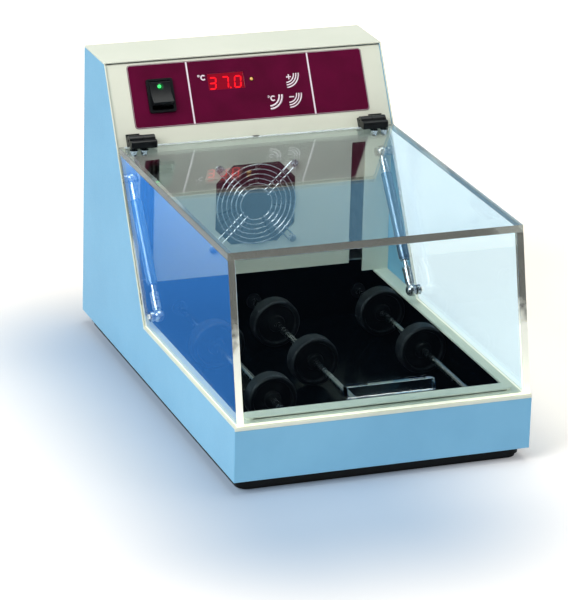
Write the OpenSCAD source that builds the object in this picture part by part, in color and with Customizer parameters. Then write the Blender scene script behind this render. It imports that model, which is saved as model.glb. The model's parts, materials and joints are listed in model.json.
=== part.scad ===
// Bench-top hybridization oven: a low heated chamber with bottle rollers under a
// clear hinged lid, and a sloping control tower behind it. Millimetres, +Z up.
// Inside the modules y runs back from the casing's front face and z up from the
// bench; place() moves that to the part's origin, under the middle of its box.

/* [Casing] */
// Width over the two side panels
body_w = 265; // [250:1:300]
// Depth from the front face to the rear panel
casing_d = 423; // [415:1:480]
// Height of the casing's front, from its lower edge to the ledge
front_h = 49; // [46:0.5:60]
// Height of the tower's roof above the casing's lower edge
tower_h = 255; // [250:1:290]
// Distance from the rear panel to the foot of the tower's sloping edge
tower_foot_d = 180; // [173:1:185]
// Depth of the roof
roof_d = 58; // [51:1:63]
// Distance of the chamber's rear wall in front of the slope at the lid's top
wall_set = 0.9; // [0.5:0.1:4]
// Thickness of the painted sheet
sheet_t = 1.5; // [1.2:0.1:2]
// How far the fascia lies behind the tower's side edges
fascia_set = 1.5; // [1:0.1:2]
// How far the roof's front edge stands out over the fascia
roof_lip = 1.5; // [0.5:0.1:3]
// Gap between the fascia's upper edge and the roof
fascia_drop = 1.3; // [0.5:0.1:1.6]

/* [Base] */
// Height of the base pan's black skirt
pan_h = 10; // [6:0.5:12]
// Inset of the skirt from the casing's outline
pan_inset = 5; // [3:0.5:12]
// Corner radius of the skirt
pan_corner = 10; // [6:1:16]
// Wall of the base pan
pan_wall = 2; // [1.5:0.1:3]
// Height of the rubber feet below the pan
foot_h = 1.5; // [1.5:0.5:6]
// Diameter of a rubber foot
foot_d = 18; // [12:1:24]
// Distance of a foot's centre from the casing's sides and ends
foot_inset = 34; // [28:1:50]
// Diameter of the plug that holds a foot in the pan
foot_plug_d = 6; // [4:0.5:8]

/* [Chamber] */
// Thickness of the chamber's top frame
frame_t = 2; // [1.5:0.1:3]
// Width of the ledge on each side
side_ledge = 15.5; // [14.5:0.5:17]
// Depth of the ledge at the front
front_ledge = 26; // [24:0.5:32]
// Distance from the front face to the raised ridge
ridge_y = 11.5; // [10:0.5:12]
// Height of the cream rim along the front
rim_h = 3.5; // [2:0.5:5]
// Depth of the raised ridge
ridge_d = 14; // [10:0.5:14]
// Height of the raised ridge
ridge_h = 3; // [2:0.5:5]
// Gap between the tray and the casing's side panels
tray_side_gap = 3; // [2:0.5:4]
// Height of the tray's floor above the casing's lower edge
tray_floor_h = 4.5; // [4:0.5:6]
// Height of the rear wall's lower edge above the ledge
rear_wall_lift = 9; // [7:0.5:12]
// Distance from the side panel to an air slot's outer edge
slot_side = 25.5; // [22:0.5:29]
// Width of an air slot
slot_w = 13.5; // [10:0.5:16]
// Distance from the rear wall's top to an air slot's top
slot_drop = 12; // [10:0.5:18]

/* [Lid] */
// Thickness of the clear panels
lid_t = 6; // [5:0.5:7]
// Distance from the roof down to the lid's top
lid_drop = 66; // [62:1:70]
// How far the top of the front panel leans back
lid_lean = 32.5; // [20:0.5:40]
// Gap between the lid and the tower's side edge at the top
lid_gap_top = 5; // [4.5:0.25:6]
// How far the lid's top panel reaches back past its side panels
lid_reach = 2; // [1:0.1:2.2]
// Gap between the lid and the tower's side edge at the foot
lid_gap_foot = 1.5; // [1:0.25:3]
// Running gap under the lid
lid_clear = 0.3; // [0.2:0.05:0.5]
// Length of the handle bar
handle_l = 78; // [60:1:120]
// Height of the handle bar along the front panel
handle_h = 10; // [8:0.5:16]
// How far the handle bar stands out
handle_d = 10; // [7:0.5:14]
// Distance from the lid's lower edge to the handle bar
handle_up = 14.6; // [10:0.2:40]
// Offset of the handle bar from the middle
handle_x = 2; // [0:0.5:4]

/* [Hinges] */
// Radius of the hinge knuckles
hinge_r = 4.5; // [4.2:0.1:5.2]
// Distance from the lid's side to a hinge's outer edge
hinge_side = 9; // [8:0.5:12]
// Width of a hinge
hinge_w = 24; // [22:0.5:26]
// Width of the tower leaf's knuckle
tower_knuckle_w = 12.5; // [11:0.5:15]
// Depth of the lid leaf in front of the pin
leaf_d = 9.5; // [9:0.5:12]
// Height of the lid leaf
leaf_h = 6.5; // [6:0.5:7.5]
// Radius of a hinge pin
pin_r = 1.5; // [1:0.1:2]
// Spacing of a hinge's two bolts
bolt_pitch = 9.5; // [8.5:0.1:10]
// Distance from a hinge's outer edge to its first bolt
bolt_side = 3; // [2.6:0.1:4]

/* [Gas struts] */
// Distance from the lid's side panels to the struts
strut_side = 8; // [7:0.25:8.5]
// Upper pivot, distance in front of the rear wall
strut_top_back = 10; // [9:0.5:11]
// Upper pivot, distance under the lid's top
strut_top_drop = 27; // [24:1:30]
// Lower pivot, distance in front of the tower's foot
strut_low_front = 9; // [7:0.5:11]
// Lower pivot, height above the ledge
strut_low_h = 12; // [11:0.5:14]
// Radius of the cylinder
tube_r = 5; // [4:0.25:5]
// Length of the rod that shows with the lid shut
rod_show = 7.5; // [6:0.5:12]
// Radius of the rod
rod_r = 2; // [1.5:0.1:2.5]
// Radius of the ball ends
ball_r = 5.5; // [5:0.1:5.8]
// Length of the end fittings
fitting_l = 14; // [12:0.5:15]

/* [Rollers] */
// Height of the shafts above the casing's lower edge
shaft_h = 30; // [29:0.5:31]
// Radius of the shafts
shaft_r = 3; // [2.5:0.1:3.5]
// Left shaft, distance from the tray's side
left_shaft_side = 62; // [58:1:68]
// Right shaft, distance from the tray's side
right_shaft_side = 26; // [25:1:32]
// Radius of the rubber-tyred wheels
wheel_r = 22; // [20:0.5:22.5]
// Width of a wheel
wheel_w = 15; // [12:0.5:18]
// Left wheels' front faces, distances back
left_wheel_rows = [92, 224];
// Centre and right wheels' front faces, distances back
right_wheel_rows = [165, 262];
// Radius of the belt pulleys
pulley_r = 10; // [8:0.5:11]
// Distance from the centre shaft to the motor shaft
motor_dx = 48; // [44:1:54]
// Diameter of the gearmotor
motor_d = 36; // [32:1:38]
// Length of the gearmotor
motor_l = 43; // [38:1:44]

/* [Fan] */
// Side of the fan's square frame
fan_size = 80; // [78:1:82]
// Depth of the fan's frame
fan_depth = 25; // [22:1:28]
// Spacing of the fan's fixing screws
fan_pitch = 71.5; // [70:0.5:72]
// Depth of the air duct behind the fan's frame
duct_behind = 30; // [25:1:33]
// Radius of the guard's wire
wire_r = 0.7; // [0.6:0.1:0.8]
// Radius of the guard's innermost ring
ring_first = 15; // [12:0.5:16]
// Pitch of the guard's rings
ring_pitch = 4.5; // [4:0.1:4.6]
// Number of rings in the guard
ring_count = 6; // [4:1:6]
// Number of fan blades
blade_count = 7; // [5:1:9]

/* [Control panel] */
// Distance from the casing's sides to the printed overlay
overlay_side = 20.6; // [19:0.2:23]
// Height of the overlay up the fascia
overlay_h = 58.3; // [56:0.1:59]
// Distance from the roof down the fascia to the overlay
overlay_drop = 4.2; // [4:0.2:6]
// Thickness of the overlay
overlay_t = 0.5; // [0.3:0.1:0.8]
// Distance from the overlay's left edge to the switch's centre
switch_side = 27.7; // [25:0.1:30]
// Switch centre, distance up the overlay
switch_up = 28.5; // [27:0.1:29.5]
// Width of the switch's bezel
bezel_w = 24.7; // [24:0.1:26]
// Height of the switch's bezel
bezel_h = 30.8; // [30:0.1:32]
// How far the bezel stands out
bezel_t = 2.5; // [2:0.1:3]
// Display window's centre, distance left of the middle
display_x = 20.8; // [18:0.2:24]
// Width of the display window
display_w = 34.5; // [33:0.5:36]
// Height of the display window
display_h = 15.2; // [14:0.2:17]
// Display and light, distance up the overlay
display_up = 37.5; // [36:0.1:38.5]
// Width of a membrane key
key_w = 15.2; // [14:0.2:16]
// Corner radius of a membrane key
key_corner = 2.5; // [2:0.1:4]
// Travel of a membrane key
key_travel = 0.4; // [0.3:0.1:0.6]
// Width of the transformer's core
transformer_w = 58; // [50:1:62]
// Depth of the transformer's core
transformer_d = 44; // [38:1:46]
// Height of the transformer's core
transformer_h = 36; // [32:1:40]

/* [Hidden] */

$fn = 48;

// Clearances shared by the fits
seat_gap = 0.2;
run_gap = 0.05;
hair = 0.3;

// Colours
blue_paint = [0.55, 0.75, 0.88];
cream_paint = [0.92, 0.92, 0.86];
black_paint = [0.09, 0.10, 0.11];
maroon_print = [0.33, 0.04, 0.17];
black_plastic = [0.06, 0.06, 0.07];
black_bush = [0.10, 0.10, 0.11];
bright_metal = [0.80, 0.81, 0.83];
clear_acrylic = [0.78, 0.92, 0.90, 0.35];

// Levels, from the bench up
casing_z = foot_h + pan_h;
ledge_z = casing_z + front_h;
roof_z = casing_z + tower_h;
roof_under_z = roof_z - sheet_t;
fascia_top_z = roof_under_z - fascia_drop;
frame_under_z = ledge_z - frame_t;
lid_low_z = ledge_z + lid_clear;
lid_top_z = roof_z - lid_drop;
lid_under_z = lid_top_z - lid_t;

// Depths, from the front face back
tower_foot_y = casing_d - tower_foot_d;
roof_front_y = casing_d - roof_d;

// Half widths
half_w = body_w / 2;
inner_x = half_w - sheet_t;
open_x = half_w - side_ledge;
tray_x = inner_x - tray_side_gap;
lid_inner_x = inner_x - lid_t;
strut_x = lid_inner_x - strut_side;
hinge_in = inner_x - hinge_side - hinge_w;
slot_x = inner_x - slot_side - slot_w;
left_shaft_x = tray_x - left_shaft_side;
right_shaft_x = tray_x - right_shaft_side;

// The tower's slope, measured from the vertical, and the fascia's outer face
face_n = -fascia_set;
slope = atan((roof_front_y - tower_foot_y) / (roof_z - ledge_z));
slope_l = (roof_z - ledge_z) / cos(slope);
overlay_up = slope_l - overlay_drop - overlay_h;
overlay_mid = overlay_up + overlay_h / 2;
overlay_w = body_w - 2 * overlay_side;
switch_x = overlay_w / 2 - switch_side;
function slope_y(s, n) = tower_foot_y + s * sin(slope) - n * cos(slope);
function slope_z(s, n) = ledge_z + s * cos(slope) + n * sin(slope);
function slope_y_at(z, n) = tower_foot_y + ((z - ledge_z) * sin(slope) - n) / cos(slope);
function slope_z_at(y, n) = ledge_z + ((y - tower_foot_y) * cos(slope) + n) / sin(slope);

// The chamber's rear wall stands under the slope, level with the lid's rear edge
rear_wall_y = slope_y_at(lid_top_z, 0) - wall_set;

// The lid's outline, from the side
lean = atan(lid_lean / (lid_top_z - lid_low_z));
lid_front_under_y = (lid_under_z - lid_low_z) * tan(lean);
lid_rear_y = slope_y_at(lid_top_z, 0) - lid_gap_top;
lid_top_rear_y = lid_rear_y + lid_reach;
lid_foot_y = tower_foot_y - lid_gap_foot;

// The hinge pin's axis
leaf_plate = sheet_t;
pin_n = leaf_plate - fascia_set + hinge_r + hair;
pin_z = lid_top_z + hinge_r + 0.5;
pin_y = slope_y_at(pin_z, pin_n);
bolt_x = hinge_in + hinge_w - bolt_side;
leaf_back_y = pin_y - hinge_r - 0.4;
leaf_front_y = pin_y - leaf_d;
bolt_y = (leaf_front_y + leaf_back_y) / 2;

// The struts, from the side
strut_top_y = rear_wall_y - strut_top_back;
strut_low_y = tower_foot_y - strut_low_front;
strut_top_z = lid_top_z - strut_top_drop;
strut_low_z = ledge_z + strut_low_h;
strut_dy = strut_low_y - strut_top_y;
strut_dz = strut_low_z - strut_top_z;
strut_l = sqrt(strut_dy * strut_dy + strut_dz * strut_dz);
strut_turn = atan2(strut_dz, strut_dy);
tube_start = ball_r + fitting_l + 2;
rod_fitting_l = fitting_l + 2;
tube_l = strut_l - tube_start - rod_show - rod_fitting_l - ball_r;
rod_depth = tube_l - 17;
socket_face = 4.5;
stud_r = 3;

// Shafts and drive
shaft_z = casing_z + shaft_h;
tray_floor_z = casing_z + tray_floor_h;
tray_rear_y = rear_wall_y + sheet_t;
shaft_front_y = front_ledge - 0.5;
shaft_rear_y = tray_rear_y + 9;
pulley_y = shaft_rear_y + 4;
pulley_w = 9;
bush_r = 6;
belt_t = 2;
motor_y = pulley_y + pulley_w + 5;
motor_r = motor_d / 2;

// Fan and duct
wall_low_z = ledge_z + rear_wall_lift;
wall_top_z = slope_z_at(rear_wall_y, face_n - sheet_t) - seat_gap;
slot_top_z = wall_top_z - slot_drop;
fan_z = (wall_low_z + wall_top_z) / 2;
fan_hole = fan_size - 4;
fan_cut = 16;
fan_y = rear_wall_y + sheet_t;
hub_r = 17;
duct_x = slot_x + slot_w + 6;
duct_low_z = wall_low_z + 2;
duct_top_z = slot_top_z + 6;
duct_d = fan_depth + duct_behind;
duct_t = 1;

// Control panel
back_n = face_n - sheet_t;
print_n = face_n + overlay_t;
key_gap = 0.6;
plus_at = [42.5, 33.7];
minus_at = [42.5, 14.9];
temperature_at = [23.5, 14.9];
light_at = [3.2, display_up];
light_r = 1.5;
board_n = back_n - 12;
board_t = 1.6;
rocker_tilt = 12;
rocker_half = 10;
rocker_corner = 10.6;
rocker_pin_r = 1.5;
rocker_pivot_n = print_n - 5;

// Screws and the mains inlet
screw_r = 2;
screw_head_r = 3.6;
screw_head_h = 2.2;
screw_l = 8;
inlet_x = 72;
inlet_up = 34;
inlet_w = 27.6;
inlet_h = 20;
inlet_flange = [50, 24, 2.5];
inlet_screw = 20;
pan_screw_z = 12;

// The middle of the whole part from front to back
front_most = handle_up * sin(lean) - handle_d * cos(lean);
rear_most = casing_d + inlet_flange[2];
back_most = rear_most + 1.5;
origin_y = (front_most + back_most) / 2;

module place() {
    translate([0, -origin_y, 0]) children();
}

// Turns an outline drawn in y and z into a plate that runs along x
module across(x0, x1) {
    translate([x0, 0, 0]) rotate([90, 0, 90]) linear_extrude(x1 - x0) children();
}

// Draws in the fascia's own plane: x across, y up the slope, z outwards
module on_slope() {
    translate([0, tower_foot_y, ledge_z]) rotate([90 - slope, 0, 0]) children();
}

module both_sides() {
    children();
    mirror([1, 0, 0]) children();
}

module bar_y(r, y0, y1, x, z) {
    translate([x, y0, z]) rotate([-90, 0, 0]) cylinder(r = r, h = y1 - y0);
}

module bar_x(r, x0, x1, y, z) {
    translate([x0, y, z]) rotate([0, 90, 0]) cylinder(r = r, h = x1 - x0);
}

module rounded_outline(x0, x1, y0, y1, r) {
    translate([x0 + r, y0]) square([x1 - x0 - 2 * r, y1 - y0]);
    translate([x0, y0 + r]) square([x1 - x0, y1 - y0 - 2 * r]);
    for (x = [x0 + r, x1 - r], y = [y0 + r, y1 - r]) translate([x, y]) circle(r);
}

module side_outline() {
    polygon([
        [sheet_t, casing_z],
        [casing_d, casing_z],
        [casing_d, roof_under_z],
        [slope_y_at(roof_under_z, 0), roof_under_z],
        [tower_foot_y, ledge_z],
        [tower_foot_y, frame_under_z],
        [sheet_t, frame_under_z]
    ]);
}

module lid_side_outline() {
    polygon([
        [0, lid_low_z],
        [lid_front_under_y, lid_under_z],
        [lid_rear_y, lid_under_z],
        [lid_foot_y, lid_low_z]
    ]);
}

module foot_places() {
    for (x = [-half_w + foot_inset, half_w - foot_inset],
            y = [foot_inset, casing_d - foot_inset]) {
        translate([x, y, 0]) children();
    }
}

module base_pan() {
    lower = pan_h / 3;
    color(black_plastic) place() difference() {
        union() {
            translate([0, 0, foot_h + lower]) linear_extrude(pan_h - lower)
                rounded_outline(-half_w + pan_inset, half_w - pan_inset,
                    pan_inset, casing_d - pan_inset, pan_corner);
            translate([0, 0, foot_h]) linear_extrude(lower)
                rounded_outline(-half_w + pan_inset + lower / 2, half_w - pan_inset - lower / 2,
                    pan_inset + lower / 2, casing_d - pan_inset - lower / 2, pan_corner);
            translate([-inner_x + seat_gap, sheet_t + seat_gap, casing_z])
                cube([2 * (inner_x - seat_gap), casing_d - 2 * (sheet_t + seat_gap), sheet_t]);
        }
        translate([0, 0, foot_h + pan_wall]) linear_extrude(pan_h + sheet_t)
            rounded_outline(-half_w + pan_inset + 2 * pan_wall, half_w - pan_inset - 2 * pan_wall,
                pan_inset + 2 * pan_wall, casing_d - pan_inset - 2 * pan_wall, pan_corner / 2);
        foot_places() translate([0, 0, foot_h - 1])
            cylinder(d = foot_plug_d + 2 * run_gap, h = pan_wall + 2);
    }
}

module feet() {
    color(black_plastic) place() foot_places() {
        cylinder(d = foot_d, h = foot_h);
        translate([0, 0, foot_h]) cylinder(d = foot_plug_d, h = pan_wall + 1.5);
    }
}

module left_side_panel() {
    color(blue_paint) place() across(-half_w, -inner_x) side_outline();
}

module right_side_panel() {
    color(blue_paint) place() across(inner_x, half_w) side_outline();
}

module front_panel() {
    color(blue_paint) place() translate([-half_w, 0, casing_z])
        cube([body_w, sheet_t, front_h - rim_h]);
}

// The frame has a bead along its front edge, a ledge for the lid and a raised ridge
module chamber_top_frame() {
    bead = frame_t;
    ridge_x = open_x + 1.5;
    color(cream_paint) place() {
        difference() {
            union() {
                translate([-half_w, bead, frame_under_z])
                    cube([body_w, tower_foot_y - bead, frame_t]);
                translate([-inner_x + seat_gap, tower_foot_y, frame_under_z])
                    cube([2 * (inner_x - seat_gap), tray_rear_y - tower_foot_y, frame_t]);
                translate([-half_w, 0, ledge_z - rim_h])
                    cube([body_w, sheet_t, rim_h - frame_t]);
                across(-half_w, half_w) intersection() {
                    translate([bead, frame_under_z]) circle(bead);
                    translate([0, frame_under_z]) square(bead);
                }
            }
            translate([-open_x, front_ledge, frame_under_z - 1])
                cube([2 * open_x, rear_wall_y - front_ledge + 10, frame_t + 2]);
        }
        intersection() {
            across(-ridge_x, ridge_x) rounded_outline(ridge_y, ridge_y + ridge_d,
                ledge_z - 1, ledge_z + ridge_h, 1);
            translate([0, 0, ledge_z]) linear_extrude(ridge_h + 1)
                rounded_outline(-ridge_x, ridge_x, ridge_y, ridge_y + ridge_d, ridge_d / 3);
        }
    }
}

module tower_roof() {
    lip_y = slope_y_at(roof_under_z, face_n) - roof_lip;
    color(cream_paint) place() translate([-half_w, lip_y, roof_under_z])
        cube([body_w, casing_d - lip_y, sheet_t]);
}

// The sloping sheet with the cut-outs that the overlay covers
module fascia_panel() {
    color(cream_paint) place() difference() {
        across(-inner_x + seat_gap, inner_x - seat_gap) polygon([
            [rear_wall_y, slope_z_at(rear_wall_y, face_n)],
            [slope_y_at(fascia_top_z, face_n), fascia_top_z],
            [slope_y_at(fascia_top_z, back_n), fascia_top_z],
            [rear_wall_y, slope_z_at(rear_wall_y, back_n)]
        ]);
        on_slope() control_cutouts(0.4);
    }
}

module key_outline(grow) {
    half = key_w / 2 + grow;
    rounded_outline(-half, half, -half, half, key_corner + grow);
}

// Openings for the switch, the display, the light and the keys
module control_cutouts(grow) {
    depth = 10;
    translate([-switch_x, overlay_up + switch_up, -depth / 2])
        cube([22 + 2 * grow, 28 + 2 * grow, depth], center = true);
    translate([-display_x, overlay_up + display_up, -depth / 2])
        cube([display_w, display_h, depth], center = true);
    translate([light_at[0], overlay_up + light_at[1], -depth])
        cylinder(r = light_r + 0.1, h = depth);
    for (at = [plus_at, minus_at, temperature_at])
        translate([at[0], overlay_up + at[1], -depth])
            linear_extrude(depth) key_outline(key_gap / 2);
}

module screw_places() {
    for (x = [-inner_x + 9, inner_x - 9], z = [casing_z + pan_screw_z, roof_under_z - 12])
        translate([x, casing_d, z]) rotate([-90, 0, 0]) children();
}

module guard_places() {
    for (x = [-1, 1], z = [-1, 1])
        translate([x * fan_pitch / 2, rear_wall_y, fan_z + z * fan_pitch / 2])
            rotate([90, 0, 0]) children();
}

module rear_panel() {
    slot_rows = 9;
    slot_pitch = 8;
    vent_l = 60;
    vent_h = 3;
    color(cream_paint) place() difference() {
        translate([-inner_x + seat_gap, casing_d - sheet_t, casing_z])
            cube([2 * (inner_x - seat_gap), sheet_t, roof_under_z - casing_z]);
        for (side = [-1, 1], row = [0:slot_rows - 1])
            translate([side * 62, casing_d, roof_under_z - 50 - row * slot_pitch])
                cube([vent_l, 4 * sheet_t, vent_h], center = true);
        translate([inlet_x, casing_d, casing_z + inlet_up])
            cube([inlet_w, 4 * sheet_t, inlet_h], center = true);
        screw_places() translate([0, 0, -2 * sheet_t])
            cylinder(r = screw_r + run_gap, h = 3 * sheet_t);
        for (side = [-1, 1])
            bar_y(1.5 + run_gap, casing_d - 3, casing_d + 1, inlet_x + side * inlet_screw,
                casing_z + inlet_up);
    }
}

// Pan-head screws in the rear panel and in the corners of the fan's guard
module panel_screws() {
    guard_stand = 2 * wire_r + 0.1;
    color(bright_metal) place() {
        screw_places() {
            cylinder(r = screw_head_r, h = screw_head_h);
            translate([0, 0, -sheet_t - 5]) cylinder(r = screw_r, h = sheet_t + 5);
        }
        guard_places() {
            translate([0, 0, guard_stand]) cylinder(r = screw_head_r, h = screw_head_h);
            translate([0, 0, -screw_l]) cylinder(r = screw_r, h = screw_l + guard_stand);
        }
        for (side = [-1, 1])
            translate([inlet_x + side * inlet_screw, rear_most, casing_z + inlet_up]) {
                bar_y(1.5, -6, 0.5, 0, 0);
                bar_y(2.6, 0, 1.5, 0, 0);
            }
    }
}

module shaft_places() {
    for (x = [-left_shaft_x, 0, right_shaft_x]) translate([x, 0, shaft_z]) children();
}

// A black tray that hangs under the top frame and holds the shafts' bushes
module chamber_tray() {
    flange = 2;
    rear_top = wall_low_z + 1.5;
    color(black_paint) place() difference() {
        union() {
            translate([-tray_x, front_ledge, tray_floor_z])
                cube([2 * tray_x, tray_rear_y + sheet_t - front_ledge,
                    frame_under_z - tray_floor_z]);
            translate([-tray_x - flange, front_ledge - flange, frame_under_z - sheet_t])
                cube([2 * (tray_x + flange), rear_wall_y - front_ledge + flange, sheet_t]);
            translate([-tray_x, tray_rear_y, frame_under_z])
                cube([2 * tray_x, sheet_t, rear_top - frame_under_z]);
        }
        translate([-tray_x + sheet_t, front_ledge + sheet_t, tray_floor_z + sheet_t])
            cube([2 * (tray_x - sheet_t), tray_rear_y - front_ledge - sheet_t, front_h]);
        shaft_places() bar_y(bush_r - 1 + run_gap, front_ledge - 1, tray_rear_y + 2 * sheet_t, 0, 0);
    }
}

module chamber_rear_wall() {
    half = fan_hole / 2;
    flat = half - fan_cut;
    color(cream_paint) place() difference() {
        across(-inner_x + seat_gap, inner_x - seat_gap) translate([rear_wall_y, ledge_z])
            square([sheet_t, wall_top_z - ledge_z]);
        translate([-slot_x - slot_w, rear_wall_y - 1, ledge_z - 1])
            cube([2 * (slot_x + slot_w), sheet_t + 2, rear_wall_lift + 1]);
        both_sides() translate([slot_x, rear_wall_y - 1, wall_low_z - 1])
            cube([slot_w, sheet_t + 2, slot_top_z - wall_low_z + 1]);
        translate([0, rear_wall_y - 1, fan_z]) rotate([-90, 0, 0]) linear_extrude(sheet_t + 2)
            polygon([
                [-flat, -half], [flat, -half], [half, -flat], [half, flat],
                [flat, half], [-flat, half], [-half, flat], [-half, -flat]
            ]);
        guard_places() translate([0, 0, -2 * sheet_t]) cylinder(r = screw_r + run_gap, h = 4 * sheet_t);
    }
}

// The printed film over the fascia
module control_overlay() {
    color(maroon_print) place() on_slope() difference() {
        translate([0, 0, face_n]) linear_extrude(overlay_t)
            rounded_outline(-overlay_w / 2, overlay_w / 2, overlay_up, overlay_up + overlay_h, 3);
        control_cutouts(0.4);
    }
}

module display_module() {
    rim = seat_gap;
    color([0.25, 0.02, 0.03]) place() on_slope()
        translate([-display_x, overlay_up + display_up, 0]) {
            translate([0, 0, (back_n + face_n) / 2])
                cube([display_w - 2 * rim, display_h - 2 * rim, sheet_t], center = true);
            translate([0, 0, (back_n - seat_gap + board_n) / 2])
                cube([display_w + 2, display_h + 2, back_n - seat_gap - board_n], center = true);
            translate([0, 0, back_n - seat_gap / 2])
                cube([display_w - 2 * rim, display_h - 2 * rim, seat_gap * 2], center = true);
        }
}

module status_light() {
    color("orange") place() on_slope()
        translate([light_at[0], overlay_up + light_at[1], board_n]) {
            cylinder(r = light_r, h = print_n - board_n - 0.5);
            cylinder(r = light_r + 0.6, h = 2);
            translate([0, 0, print_n - board_n - 0.5]) sphere(light_r);
        }
}

// A square cap that rests on its dome switch and moves in by the key's travel
module key_cap(at) {
    stem_r = 2.5;
    flange_n = back_n - seat_gap - 1;
    color(maroon_print) place() on_slope() translate([at[0], overlay_up + at[1], 0]) {
        translate([0, 0, flange_n]) linear_extrude(print_n + 0.1 - flange_n) key_outline(0);
        translate([0, 0, flange_n]) linear_extrude(1) key_outline(1);
        translate([0, 0, board_n + 3 + key_travel + 0.1])
            cylinder(r = stem_r, h = flange_n - board_n - 3 - key_travel - 0.1 + 0.5);
    }
}

module plus_key() { key_cap(plus_at); }
module minus_key() { key_cap(minus_at); }
module temperature_key() { key_cap(temperature_at); }

module switch_bezel() {
    case_depth = 24;
    wall = (bezel_w - 19.8) / 2;
    pivot_n = rocker_pivot_n - print_n;
    color(black_plastic) place() on_slope()
        translate([-switch_x, overlay_up + switch_up, print_n]) difference() {
            union() {
                linear_extrude(bezel_t)
                    rounded_outline(-bezel_w / 2, bezel_w / 2, -bezel_h / 2, bezel_h / 2, 2);
                translate([-11, -14, -case_depth]) cube([22, 28, case_depth + 0.5]);
            }
            translate([-bezel_w / 2 + wall, -bezel_h / 2 + 2, -11])
                cube([bezel_w - 2 * wall, bezel_h - 4, 11 + bezel_t + 1]);
            bar_x(rocker_pin_r + run_gap, -12, 12, 0, pivot_n);
        }
}

// The rocker at rest with its upper half pressed in; its ends curve about the pivot
module switch_rocker() {
    face = rocker_corner - 2.3;
    width = bezel_w - 5.5;
    sweep_r = sqrt(pow(rocker_half, 2) + pow(rocker_corner, 2));
    top_turn = atan2(rocker_corner, rocker_half);
    low_turn = top_turn - 10;
    color(black_plastic) place() on_slope()
        translate([-switch_x, overlay_up + switch_up, rocker_pivot_n])
            rotate([-rocker_tilt, 0, 0]) {
                across(-width / 2, width / 2) polygon([
                    [0, face],
                    for (turn = [top_turn:-2:low_turn]) sweep_r * [cos(turn), sin(turn)],
                    [rocker_half - 1, -3],
                    [-rocker_half + 1, -3],
                    for (turn = [low_turn:2:top_turn]) sweep_r * [-cos(turn), sin(turn)]
                ]);
                across(-10.8, 10.8) circle(rocker_pin_r);
            }
}

module control_board() {
    board_w = 96;
    board_h = 50;
    color([0.05, 0.35, 0.16]) place() on_slope() {
        translate([-48, overlay_mid - board_h / 2, board_n - board_t])
            cube([board_w + 14, board_h, board_t]);
        for (at = [plus_at, minus_at, temperature_at])
            translate([at[0], overlay_up + at[1], board_n]) cylinder(r = 3, h = 3);
        for (x = [-43, 57], up = [-1, 1])
            translate([x, overlay_mid + up * (board_h / 2 - 5), board_n - 0.5])
                cylinder(r = 2.5, h = back_n - board_n + 0.5);
        translate([-30, overlay_mid - 22, board_n - board_t - 8]) cube([26, 18, 8.2]);
        translate([10, overlay_mid - 18, board_n - board_t - 4]) cube([30, 30, 4.2]);
    }
}

module transformer() {
    coil = transformer_w / 8;
    at = [motor_dx / 3, casing_d - transformer_d - 33, foot_h + pan_wall];
    color([0.35, 0.33, 0.30]) place() translate(at) {
        cube([transformer_w, transformer_d, transformer_h]);
        translate([coil, -6, coil])
            cube([transformer_w - 2 * coil, transformer_d + 12, transformer_h - 2 * coil]);
        translate([-10, 0, 0]) cube([transformer_w + 20, transformer_d, 3]);
    }
}

// The mains inlet: a flanged block with three flat pins, ready for a lead
module mains_inlet() {
    depth = 22;
    pin = [2, 14, 5];
    color(black_plastic) place() translate([inlet_x, casing_d, casing_z + inlet_up]) {
        difference() {
            union() {
                translate([-inlet_flange[0] / 2, 0, -inlet_flange[1] / 2])
                    cube([inlet_flange[0], inlet_flange[2], inlet_flange[1]]);
                translate([-inlet_w / 2 + run_gap, -depth, -inlet_h / 2 + run_gap])
                    cube([inlet_w - 2 * run_gap, depth + 0.5, inlet_h - 2 * run_gap]);
            }
            translate([-12, -depth + 4, -8]) cube([24, depth, 16]);
            both_sides() translate([inlet_screw, inlet_flange[2] + 1, 0]) rotate([90, 0, 0])
                cylinder(r = 1.5 + run_gap, h = inlet_flange[2] + 2);
        }
        for (p = [[-7, -3], [0, 3], [7, -3]])
            translate([p[0] - pin[0] / 2, -depth + 3, p[1] - pin[2] / 2]) cube(pin);
    }
}

// The fan's square frame, with four arms that carry the motor's bearing boss
module fan_frame() {
    back_t = 4;
    arm_w = 4;
    arm_t = 3.4;
    bore_r = fan_size / 2 - 2;
    boss_r = hub_r - 2;
    color(black_plastic) place() translate([0, fan_y, fan_z]) difference() {
        union() {
            difference() {
                rotate([-90, 0, 0]) linear_extrude(fan_depth)
                    rounded_outline(-fan_size / 2, fan_size / 2, -fan_size / 2, fan_size / 2, 4);
                bar_y(bore_r, -1, fan_depth + 1, 0, 0);
            }
            for (turn = [45, 135, 225, 315]) rotate([0, turn, 0])
                translate([-arm_w / 2, fan_depth - back_t + (back_t - arm_t) / 2, boss_r - 3])
                    cube([arm_w, arm_t, bore_r + 4 - boss_r]);
            bar_y(boss_r, fan_depth - back_t, fan_depth, 0, 0);
        }
        bar_y(2 + run_gap, fan_depth - back_t - 1, fan_depth + 1, 0, 0);
        for (x = [-1, 1], z = [-1, 1])
            bar_y(screw_r + run_gap, -1, fan_depth + 1, x * fan_pitch / 2, z * fan_pitch / 2);
    }
}

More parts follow.
